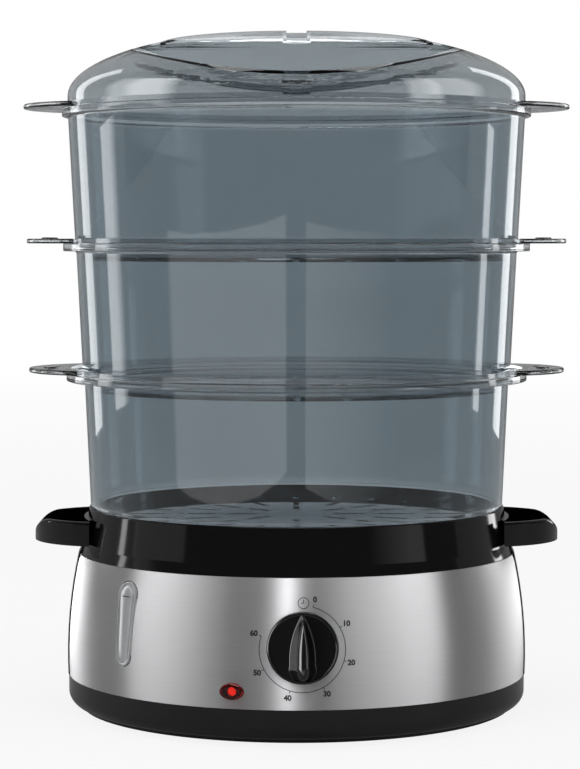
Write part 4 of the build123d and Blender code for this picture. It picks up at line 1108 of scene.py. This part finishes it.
@dataclass
class Dial:
    """Minute scale printed round the timer knob.

    Attributes:
        centre: Middle of the knob on the steel.
        outward: Direction that the knob faces.
        skin: Surface that takes the print.
        scale_r: Radius of the scale's arc.
        number_r: Radius at which the numbers stand.
        number_h: Height of a number.
        line_w: Width of a printed line.
        tick: Length of a tick.
        first: Clock angle of the first mark, in degrees.
        last: Clock angle of the last mark, in degrees.
        marks: Numbers on the scale.
        clock_r: Radius of the small clock face.
        clock_at: Its middle, right of and above the knob's.
        scale_steps: Points along the scale's arc.
        clock_steps: Points round the clock face.
        faces: Outlines drawn so far.
    """

    centre: Vector
    outward: Vector
    skin: Skin
    scale_r: float = 21.8 * MM
    number_r: float = 25.7 * MM
    number_h: float = 2.75 * MM
    line_w: float = 0.38 * MM
    tick: float = 1.3 * MM
    first: float = 14.5
    last: float = 288.0
    marks: tuple[int, ...] = (0, 10, 20, 30, 40, 50, 60)
    clock_r: float = 2.75 * MM
    clock_at: Flat = (0.6 * MM, 23.2 * MM)
    scale_steps: int = 150
    clock_steps: int = 36
    faces: list[tuple[Flat, ...]] = field(default_factory=list)

    def spot(self, radius: float, clock: float) -> Flat:
        """Flat place at a radius and a clock angle in degrees."""
        turn = math.radians(clock)
        return radius * math.sin(turn), radius * math.cos(turn)

    def stroke(self, points: Iterable[Flat], closed: bool = False) -> None:
        """Add a line of the print's width.

        Args:
            points: Flat places along the line.
            closed: Whether the last joins the first.
        """
        path = [Vector(p) for p in points]
        count = len(path)
        sides = []
        for i, point in enumerate(path):
            before = path[(i - 1) % count] if closed or i else point
            after = path[(i + 1) % count] if closed or i < count - 1 else point
            run = (after - before).normalized()
            across = Vector((-run.y, run.x)) * self.line_w / 2
            sides.append(((point + across)[:], (point - across)[:]))
        following = sides[1:] + sides[:1] if closed else sides[1:]
        for (a, b), (c, d) in zip(sides, following):
            self.faces.append((a, c, d, b))

    def bearings(self) -> list[float]:
        """Clock angle of each mark."""
        step = (self.last - self.first) / (len(self.marks) - 1)
        return [self.first + step * i for i in range(len(self.marks))]

    def arc(self, centre: Flat, radius: float, start: float, end: float, steps: int) -> list[Flat]:
        """Flat places along an arc.

        Args:
            centre: Middle of the arc.
            radius: Its radius.
            start: Clock angle of its first place.
            end: Clock angle of its last place.
            steps: Number of equal steps.

        Returns:
            The places, with both ends.
        """
        spots = [self.spot(radius, start + (end - start) * i / steps) for i in range(steps + 1)]
        return [(centre[0] + x, centre[1] + y) for x, y in spots]

    def draw_scale(self) -> None:
        """Add the arc and its ticks."""
        self.stroke(self.arc((0.0, 0.0), self.scale_r, self.first, self.last, self.scale_steps))
        for clock in self.bearings():
            self.stroke([self.spot(self.scale_r, clock), self.spot(self.scale_r + self.tick, clock)])

    def draw_clock(self) -> None:
        """Add the small clock face beside the first mark."""
        x, y = self.clock_at
        self.stroke(self.arc(self.clock_at, self.clock_r, 0.0, 360.0, self.clock_steps)[:-1], closed=True)
        minute_hand, hour_hand = (x, y + 0.66 * self.clock_r), (x - 0.5 * self.clock_r, y)
        for end in (minute_hand, hour_hand):
            self.stroke([self.clock_at, end])

    def draw_numbers(self) -> None:
        """Add the numbers as flat outlines."""
        for clock, value in zip(self.bearings(), self.marks):
            x, y = self.spot(self.number_r, clock)
            for face in digit_faces(str(value), self.number_h):
                self.faces.append(tuple((x + u, y + v) for u, v in face))

    def build(self, ink: Material) -> Object:
        """Lay the print on the steel.

        Args:
            ink: Material of the print.

        Returns:
            The print as one object.
        """
        self.draw_scale()
        self.draw_clock()
        self.draw_numbers()
        return lay_print("dial_print", self.faces, upright(self.centre, self.outward), self.skin, ink)


def digit_faces(text: str, height: float) -> list[tuple[Flat, ...]]:
    """Flat faces of a number in Blender's own plain typeface, centred on the origin.

    Args:
        text: Digits to write.
        height: Height of a digit.

    Returns:
        The faces as flat outlines.
    """
    digit_share, weight = 0.72, 0.045
    curve = bpy.data.curves.new("number", "FONT")
    curve.body = text
    curve.align_x = curve.align_y = "CENTER"
    curve.size = height / digit_share
    curve.offset = weight * curve.size
    curve.resolution_u = 4
    writer = bpy.data.objects.new("number", curve)
    bpy.context.scene.collection.objects.link(writer)
    graph = bpy.context.evaluated_depsgraph_get()
    flat = bpy.data.meshes.new_from_object(writer.evaluated_get(graph))
    spots = [(vertex.co.x, vertex.co.y) for vertex in flat.vertices]
    faces = [tuple(spots[i] for i in face.vertices) for face in flat.polygons]
    bpy.data.objects.remove(writer)
    bpy.data.curves.remove(curve)
    bpy.data.meshes.remove(flat)
    return faces


# ---------------------------------------------------------------- the steamer


class Steamer:
    """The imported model, its finishes and the pieces added to it."""

    def __init__(self, frame: dict) -> None:
        """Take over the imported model.
        """
        self.nodes: dict[str, Object] = frame["nodes"]
        self.shown = dict(self.nodes)
        self.joints: list[dict] = frame["joints"]
        low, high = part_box("turbo_ring")
        self.axis_y = (low.y + high.y) / 2

    def dress(self, finish: Finish, *names: str) -> None:
        """Give CAD nodes a finish.

        Args:
            finish: Finish to build and give.
            names: Names of the nodes.
        """
        material = finish.build()
        for name in names:
            data = self.nodes[name].data
            data.materials.clear()
            data.materials.append(material)
            LOG.info("%s is dressed in %s", name, finish.name)


@dataclass
class WaterBase:
    """Black housing, steel band, reservoir with its troughs, and the underside."""

    steamer: Steamer

    def dress(self) -> None:
        """Give the base its finishes."""
        gloss = MouldedPlastic(
            "black_gloss", (0.008, 0.008, 0.009, 1.0), 0.07, grain_depth=0.00001, marks=0.12
        )
        satin = MouldedPlastic("black_satin", (0.018, 0.018, 0.019, 1.0), 0.42, grain_share=0.6)
        rubber = MouldedPlastic("soft_rubber", (0.02, 0.02, 0.02, 1.0), 0.78, grain_share=0.8, marks=0.5)
        band = BrushedSheet("brushed_band", (0.64, 0.64, 0.65, 1.0), self.steamer.axis_y)
        zinc = PlainMetal("zinc_plate", (0.62, 0.62, 0.6, 1.0), (0.42, 0.42, 0.4, 1.0), 0.3)
        self.steamer.dress(gloss, "base_housing", "reservoir")
        self.steamer.dress(band, "steel_front_panel")
        self.steamer.dress(satin, "bottom_plate", "turbo_ring", "lamp_holder")
        self.steamer.dress(rubber, "rubber_feet", "cord_gland")
        self.steamer.dress(
            zinc, "base_screws", "heater_clamp_ring", "heater_nuts", "thermal_fuse",
            "timer_bell", "timer_screws", "timer_spindle",
        )


@dataclass
class HeaterGroup:
    """Heating plate, its ring element, seals and the wiring block."""

    steamer: Steamer

    def dress(self) -> None:
        """Give the heater its finishes."""
        metals = (
            ("heater_plate", "pressed_steel", (0.6, 0.59, 0.57, 1.0), (0.45, 0.43, 0.4, 1.0), 0.28),
            ("heating_element", "heated_sheath", (0.33, 0.3, 0.27, 1.0), (0.2, 0.16, 0.12, 1.0), 0.4),
            ("terminal_screws", "turned_brass", (0.74, 0.55, 0.25, 1.0), (0.5, 0.35, 0.14, 1.0), 0.3),
        )
        for node, *looks in metals:
            self.steamer.dress(PlainMetal(*looks), node)
        silicone = MouldedPlastic("silicone", (0.55, 0.54, 0.5, 1.0), 0.5, marks=0.1)
        natural = MouldedPlastic("natural_plastic", (0.62, 0.6, 0.54, 1.0), 0.45)
        phenolic = MouldedPlastic("phenolic", (0.09, 0.05, 0.03, 1.0), 0.35)
        self.steamer.dress(silicone, "heater_seal", "gauge_seal")
        self.steamer.dress(natural, "timer_body", "terminal_block")
        self.steamer.dress(phenolic, "thermostat")


@dataclass
class TimerControl:
    """Timer knob and the scale printed round it.

    Attributes:
        steamer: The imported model.
        dial_drop: How far the scale's middle lies below the knob's.
    """

    steamer: Steamer
    dial_drop: float = 1.0 * MM

    def dress(self) -> None:
        """Give the knob its finish and print the scale."""
        gloss = MouldedPlastic(
            "knob_gloss", (0.004, 0.004, 0.0045, 1.0), 0.035, grain_depth=0.000001, marks=0.03
        )
        hinge = next(j for j in self.steamer.joints if j["child"] == "knob")
        middle, outward = Vector(hinge["pos_m"]), -Vector(hinge["axis"]).normalized()
        cap = KnobCap(self.steamer.nodes["timer_knob"], middle, outward).build(gloss.build())
        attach(cap, "knob")
        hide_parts("timer_knob")
        self.steamer.shown["timer_knob"] = cap
        LOG.info("the knob is moulded")
        centre = middle - Vector((0.0, 0.0, self.dial_drop))
        dial = Dial(centre, outward, Skin(self.steamer.nodes["steel_front_panel"]))
        ink = PrintedInk("scale_ink")
        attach(dial.build(ink.build()), "base")
        LOG.info("the scale is printed")


@dataclass
class PilotLamp:
    """Red pilot lamp, lit."""

    steamer: Steamer

    def dress(self) -> None:
        """Give the lens and the neon their finishes."""
        lens = ClearPlastic(
            "red_lens", (0.42, 0.02, 0.015, 1.0), (0.8, 0.2, 0.15, 1.0), roughness=0.04, wave_depth=0.0004
        )
        neon = GlowingGas("lit_neon", (1.0, 0.16, 0.04, 1.0), 1.8)
        self.steamer.dress(lens, "lamp_lens")
        self.steamer.dress(neon, "neon_lamp")


@dataclass
class WaterGauge:
    """Clear window of the water gauge.

    Attributes:
        steamer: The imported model.
        bearing: Where the window stands, in degrees from the front.
        level: Highest level, as a share of the window's height.
        line: Length and width of the line at that level.
        line_parts: Faces that the line is laid in.
    """

    steamer: Steamer
    bearing: float = -46.0
    level: float = 0.81
    line: Flat = (6.0 * MM, 0.5 * MM)
    line_parts: int = 6

    def dress(self) -> None:
        """Give the window its finish and mark the highest level."""
        pane = ClearPlastic(
            "gauge_clear", (0.68, 0.69, 0.7, 1.0), (0.8, 0.8, 0.8, 1.0),
            roughness=0.05, wave_depth=0.00001, milk=0.45,
        )
        turn = math.radians(self.bearing)
        outward = Vector((math.sin(turn), -math.cos(turn), 0.0))
        moulding = GaugePane(self.steamer.nodes["gauge_window"], outward)
        window = moulding.build(pane.build())
        # Black lip round the window: the gasket, and a painted shadow of the gap there.
        rubber = MouldedPlastic("gasket_rubber_and_gap_shadow", (0.012, 0.012, 0.013, 1.0), 0.5, marks=0.1).build()
        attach(moulding.gasket_lip(self.steamer.nodes["steel_front_panel"], rubber), "base")
        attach(window, "base")
        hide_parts("gauge_window")
        self.steamer.shown["gauge_window"] = window
        LOG.info("the gauge window is moulded")
        low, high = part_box("gauge_window")
        middle = (low + high) / 2
        middle.z = low.z + self.level * (high.z - low.z)
        half_l, half_w = self.line[0] / 2, self.line[1] / 2
        edges = [half_l * (2 * k / self.line_parts - 1) for k in range(self.line_parts + 1)]
        faces = [((a, -half_w), (b, -half_w), (b, half_w), (a, half_w)) for a, b in zip(edges, edges[1:])]
        ink = PrintedInk("level_ink").build()
        skin = Skin(window)
        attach(lay_print("level_line", faces, upright(middle, outward), skin, ink), "base")
        LOG.info("the highest level is marked")


@dataclass
class SteamStack:
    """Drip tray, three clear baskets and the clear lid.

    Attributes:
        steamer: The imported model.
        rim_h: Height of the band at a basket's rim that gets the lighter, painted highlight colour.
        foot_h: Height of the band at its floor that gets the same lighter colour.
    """

    steamer: Steamer
    rim_h: float = 8.5 * MM
    foot_h: float = 9.0 * MM

    def dress(self) -> None:
        """Give the stack its finishes."""
        shade = (0.8, 0.82, 0.83, 1.0)
        for name in ("basket_lower", "basket_middle", "basket_upper"):
            low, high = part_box(name)
            # Rim and floor bands get a lighter tint, a painted highlight.
            walls = ClearPlastic(
                f"{name}_clear", (0.35, 0.4, 0.43, 1.0), shade,
                rim_z=high.z - self.rim_h, foot_z=low.z + self.foot_h,
            )
            self.steamer.dress(walls, name)
        # The lid's tint is lighter than the baskets': a painted highlight for the light from above on the
        # dome.
        dome = ClearPlastic(
            "lid_clear_painted_highlight", (0.52, 0.555, 0.575, 1.0), shade, wave_depth=0.0003, wave_scale=14.0
        )
        self.steamer.dress(dome, "lid")
        smoke = MouldedPlastic("tray_smoke", (0.03, 0.031, 0.033, 1.0), 0.2, marks=0.1)
        self.steamer.dress(smoke, "drip_tray")


# ---------------------------------------------------------------- studio


CLEAR_NODES = ("basket_lower", "basket_middle", "basket_upper", "lid")
GLOSS_NODES = ("base_housing", "reservoir", "timer_knob", "lamp_lens")
STEEL_NODES = ("steel_front_panel",)


class Reach(Enum):
    """Which nodes a lamp lights: their names, and whether they are the ones left out."""

    CLEAR = (CLEAR_NODES, False)
    LID = (("lid",), False)
    GLOSS = (GLOSS_NODES, False)
    KNOB = (("timer_knob",), False)
    PANE = (("gauge_window",), False)
    STEEL = (STEEL_NODES, False)
    ROOM = (STEEL_NODES + GLOSS_NODES, True)


class Lamp(Enum):
    """Upright soft panels.

    Each has its bearing from the front, distance, width, lower and upper edges, radiance, the shares
    of its width over which its two sides fade, and its reach.
    """

    LEFT = (-83.0, 1.5, 1.4, 0.4, 1.3, 1.6, 0.2, 0.2, Reach.ROOM)
    RIGHT = (63.0, 1.5, 0.58, 0.4, 1.3, 2.2, 0.2, 0.2, Reach.ROOM)
    VEIL_LEFT = (-35.0, 0.75, 0.88, 0.0, 0.2, 0.8, 0.05, 0.02, Reach.CLEAR)
    VEIL_RIGHT = (25.0, 0.75, 0.58, 0.0, 0.2, 0.6, 0.02, 0.9, Reach.CLEAR)
    REAR_LEFT = (-133.5, 1.5, 0.33, 0.0, 1.5, 1.6, 0.1, 0.1, Reach.CLEAR)
    SIDE_LEFT = (-105.0, 1.5, 0.36, 0.0, 0.3, 2.3, 0.1, 0.4, Reach.CLEAR)
    REAR_RIGHT = (137.0, 1.5, 0.35, 0.0, 1.5, 1.8, 0.1, 0.1, Reach.CLEAR)
    SIDE_RIGHT = (109.0, 1.5, 0.18, 0.0, 0.3, 2.4, 0.2, 0.1, Reach.CLEAR)
    LID_LEFT = (-76.0, 1.5, 1.0, 0.4, 1.3, 2.6, 0.3, 0.3, Reach.LID)
    LID_RIGHT = (82.0, 1.5, 1.2, 0.4, 1.3, 2.2, 0.3, 0.3, Reach.LID)
    STEEL_LEFT = (-62.0, 1.5, 1.7, 0.02, 2.0, 1.85, 0.1, 0.8, Reach.STEEL)
    STEEL_FRONT = (-5.5, 2.4, 0.3, 0.02, 2.4, 7.0, 0.5, 0.15, Reach.STEEL)
    STEEL_RIGHT = (44.0, 1.5, 1.9, 0.02, 2.0, 2.3, 1.0, 0.04, Reach.STEEL)
    STEEL_REAR_LEFT = (-141.0, 1.5, 0.9, 0.02, 2.0, 4.4, 0.1, 0.7, Reach.STEEL)
    STEEL_REAR_RIGHT = (131.0, 1.5, 1.4, 0.02, 2.0, 2.4, 0.8, 0.1, Reach.STEEL)
    GLOSS_LEFT = (-78.0, 1.5, 1.0, 0.0, 0.6, 0.24, 0.1, 0.03, Reach.GLOSS)
    GLOSS_RIGHT = (54.0, 1.5, 0.86, 0.0, 0.6, 0.42, 0.7, 0.03, Reach.GLOSS)
    GLOSS_EDGE = (-104.0, 1.5, 0.14, 0.0, 0.6, 2.5, 0.1, 0.1, Reach.GLOSS)
    GLOSS_REAR = (131.0, 1.5, 0.3, 0.0, 0.6, 3.0, 0.1, 0.1, Reach.GLOSS)
    KNOB_LEFT = (-42.0, 0.55, 0.5, 0.0, 0.4, 8.0, 0.4, 0.3, Reach.KNOB)
    KNOB_RIGHT = (62.0, 0.6, 0.12, 0.0, 0.4, 4.0, 0.3, 0.3, Reach.KNOB)
    KNOB_TABLE = (2.5, 0.8, 0.6, 0.0, 0.03, 1.1, 0.1, 0.1, Reach.KNOB)
    PANE_LEFT = (-96.0, 0.6, 0.2, 0.0, 0.4, 4.5, 0.3, 0.3, Reach.PANE)


@dataclass
class Studio:
    """Floor, lamps, world and camera.

    Attributes:
        axis_y: Where the object's axis stands.
        nodes: CAD nodes by name.
        distance: Camera to the object's axis.
        height: Camera above the floor.
        aside: Camera left of the object's axis.
        pitch: Degrees that the camera looks down.
        focal_px: Focal length in pixels of the frame.
        frame_px: Longer side of the frame in pixels.
        sensor: Width of the sensor in millimetres.
        fill: Strength of the world for light from all round.
        mirrored_white: How white the backdrop is in reflections.
        crown_at: Place of the lamp above, forward of the axis and above the floor.
        crown_aim: Height that it faces.
        crown_size: Its width and depth.
        crown_radiance: How bright its face is.
    """

    axis_y: float
    nodes: dict[str, Object]
    distance: float = 1.388
    height: float = 0.2562
    aside: float = 0.00356
    pitch: float = 3.29
    focal_px: float = 2531.0
    frame_px: float = 769.0
    sensor: float = 36.0
    fill: float = 0.07
    mirrored_white: float = 0.15
    crown_at: Flat = (0.1, 1.7)
    crown_aim: float = 0.2
    crown_size: Flat = (1.2, 1.0)
    crown_radiance: float = 3.2

    def camera(self) -> None:
        """Place the camera."""
        data = bpy.data.cameras.new("camera")
        data.sensor_width = self.sensor
        data.lens = self.focal_px * self.sensor / self.frame_px
        data.clip_end = 20.0
        view = bpy.data.objects.new("camera", data)
        view.location = (-self.aside, self.axis_y - self.distance, self.height)
        view.rotation_euler = (math.radians(90.0 - self.pitch), 0.0, 0.0)
        bpy.context.scene.collection.objects.link(view)
        bpy.context.scene.camera = view

    def lamps(self) -> None:
        """Place the soft panels round the object and the one above it."""
        for lamp in Lamp:
            bearing, distance, width, low, high, radiance, near, far, reach = lamp.value
            turn = math.radians(bearing)
            middle = (low + high) / 2
            place = Vector((math.sin(turn) * distance, self.axis_y - math.cos(turn) * distance, middle))
            aim = Vector((0.0, self.axis_y, middle))
            panel = self.panel(lamp.name.lower(), place, aim, width, high - low, radiance)
            self.soften(panel.data, near, far)
            self.restrict(panel, reach)
        forward, above = self.crown_at
        crown, aim = Vector((0.0, self.axis_y - forward, above)), Vector((0.0, self.axis_y, self.crown_aim))
        self.panel("above", crown, aim, *self.crown_size, self.crown_radiance)

    def panel(
        self, name: str, place: Vector, aim: Vector, width: float, tall: float, radiance: float
    ) -> Object:
        """Add one soft rectangular lamp.

        Args:
            name: Name of the lamp.
            place: Where it stands.
            aim: Point that it faces.
            width: Its width.
            tall: Its height.
            radiance: How bright its face is, where 1 shows as white.

        Returns:
            The lamp.
        """
        data = bpy.data.lights.new(name, "AREA")
        data.shape = "RECTANGLE"
        data.size, data.size_y = width, tall
        data.energy = 4.0 * width * tall * radiance
        lamp = bpy.data.objects.new(name, data)
        lamp.visible_camera = False
        lamp.location = place
        lamp.rotation_euler = (aim - place).to_track_quat("-Z", "Y").to_euler()
        bpy.context.scene.collection.objects.link(lamp)
        return lamp

    def soften(self, data: bpy.types.Light, near: float, far: float) -> None:
        """Fade a lamp's two sides.

        Args:
            data: The lamp's data.
            near: Share of the width over which the side of lower bearing fades.
            far: Share for the other side.
        """
        data.use_nodes = True
        shader = Shader(data.node_tree)
        across = shader.split(shader.add("ShaderNodeNewGeometry").outputs["Parametric"])["X"]
        rise = shader.math("DIVIDE", across, near, clamp=True)
        fall = shader.math("DIVIDE", shader.math("SUBTRACT", 1.0, across), far, clamp=True)
        shader.feed(data.node_tree.nodes["Emission"], Strength=shader.math("MULTIPLY", rise, fall))

    def restrict(self, lamp: Object, reach: Reach) -> None:
        """Let a lamp light only some nodes, or all but some.

        Args:
            lamp: The lamp.
            reach: Its reach.
        """
        names, left_out = reach.value
        group = bpy.data.collections.new(f"{lamp.name}_reach")
        for name in names:
            group.objects.link(self.nodes[name])
        if left_out:
            for entry in group.collection_objects:
                entry.light_linking.link_state = "EXCLUDE"
        lamp.light_linking.receiver_collection = group

    def world(self) -> None:
        """Set a white world behind, a greyer one in reflections and a dim fill all round.

        Sight and clear plastic meet the white.
        """
        world = bpy.data.worlds.new("studio")
        world.use_nodes = True
        bpy.context.scene.world = world
        shader = Shader(world.node_tree)
        path = shader.add("ShaderNodeLightPath").outputs
        behind = shader.math("GREATER_THAN", shader.split(shader.place("Generated"))["Y"], 0.1)
        mirrored = shader.math("MULTIPLY", path["Is Glossy Ray"], self.mirrored_white)
        through = shader.math("MAXIMUM", mirrored, path["Is Transmission Ray"])
        seen = shader.math("MAXIMUM", path["Is Camera Ray"], shader.math("MULTIPLY", through, behind))
        strength = shader.spread(seen, self.fill, 1.0)
        shader.feed(world.node_tree.nodes["Background"], Strength=strength, Color=WHITE)

    def floor(self) -> None:
        """Lay a pale floor that keeps the object's shadow and turns white away from it."""
        white_from, white_rate, near_white = 0.2, 0.3, 0.88
        mirrored_card, mirrored_glow = 0.6, 0.1
        mesh = bmesh.new()
        bmesh.ops.create_grid(mesh, x_segments=8, y_segments=8, size=6.0)
        material, shader, body = new_material("pale_floor")
        paper = shader.feed(shader.add("ShaderNodeTexNoise"), Scale=160.0).outputs["Fac"]
        tone = shader.blend(paper, (0.8, 0.8, 0.8, 1.0), (0.84, 0.84, 0.84, 1.0))
        path = shader.add("ShaderNodeLightPath").outputs
        card = shader.math("MULTIPLY", path["Is Glossy Ray"], mirrored_card)
        colour = shader.blend(card, tone, (0.05, 0.05, 0.05, 1.0))
        shader.feed(body, Base_Color=colour, Roughness=0.6, Specular_IOR_Level=0.2)
        mirrored = shader.math("MULTIPLY", path["Is Glossy Ray"], mirrored_glow)
        through = shader.math("MAXIMUM", path["Is Transmission Ray"], mirrored)
        seen = shader.math("MAXIMUM", path["Is Camera Ray"], through)
        reach = shader.feed(shader.add("ShaderNodeVectorMath", operation="LENGTH"), Vector=shader.place())
        distance = reach.outputs["Value"]
        away = shader.math("MULTIPLY_ADD", distance, white_rate, -white_rate * white_from, clamp=True)
        share = shader.math("MULTIPLY", seen, shader.spread(away, near_white, 1.0))
        shader.layer(share, body, shader.add("ShaderNodeEmission"))
        mesh_object("floor", mesh, material)

    def build(self) -> None:
        """Build the whole studio."""
        bpy.context.scene.view_settings.view_transform = "Standard"
        self.camera()
        self.lamps()
        self.world()
        self.floor()


def main() -> None:
    """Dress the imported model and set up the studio."""
    logging.basicConfig(level=logging.INFO, format="%(message)s")
    for leftover in list(bpy.data.objects):
        bpy.data.objects.remove(leftover)
    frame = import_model()
    steamer = Steamer(frame)
    for part in (WaterBase, HeaterGroup, TimerControl, PilotLamp, WaterGauge, SteamStack):
        part(steamer).dress()
    Studio(steamer.axis_y, steamer.shown).build()


if __name__ == "__main__":
    main()
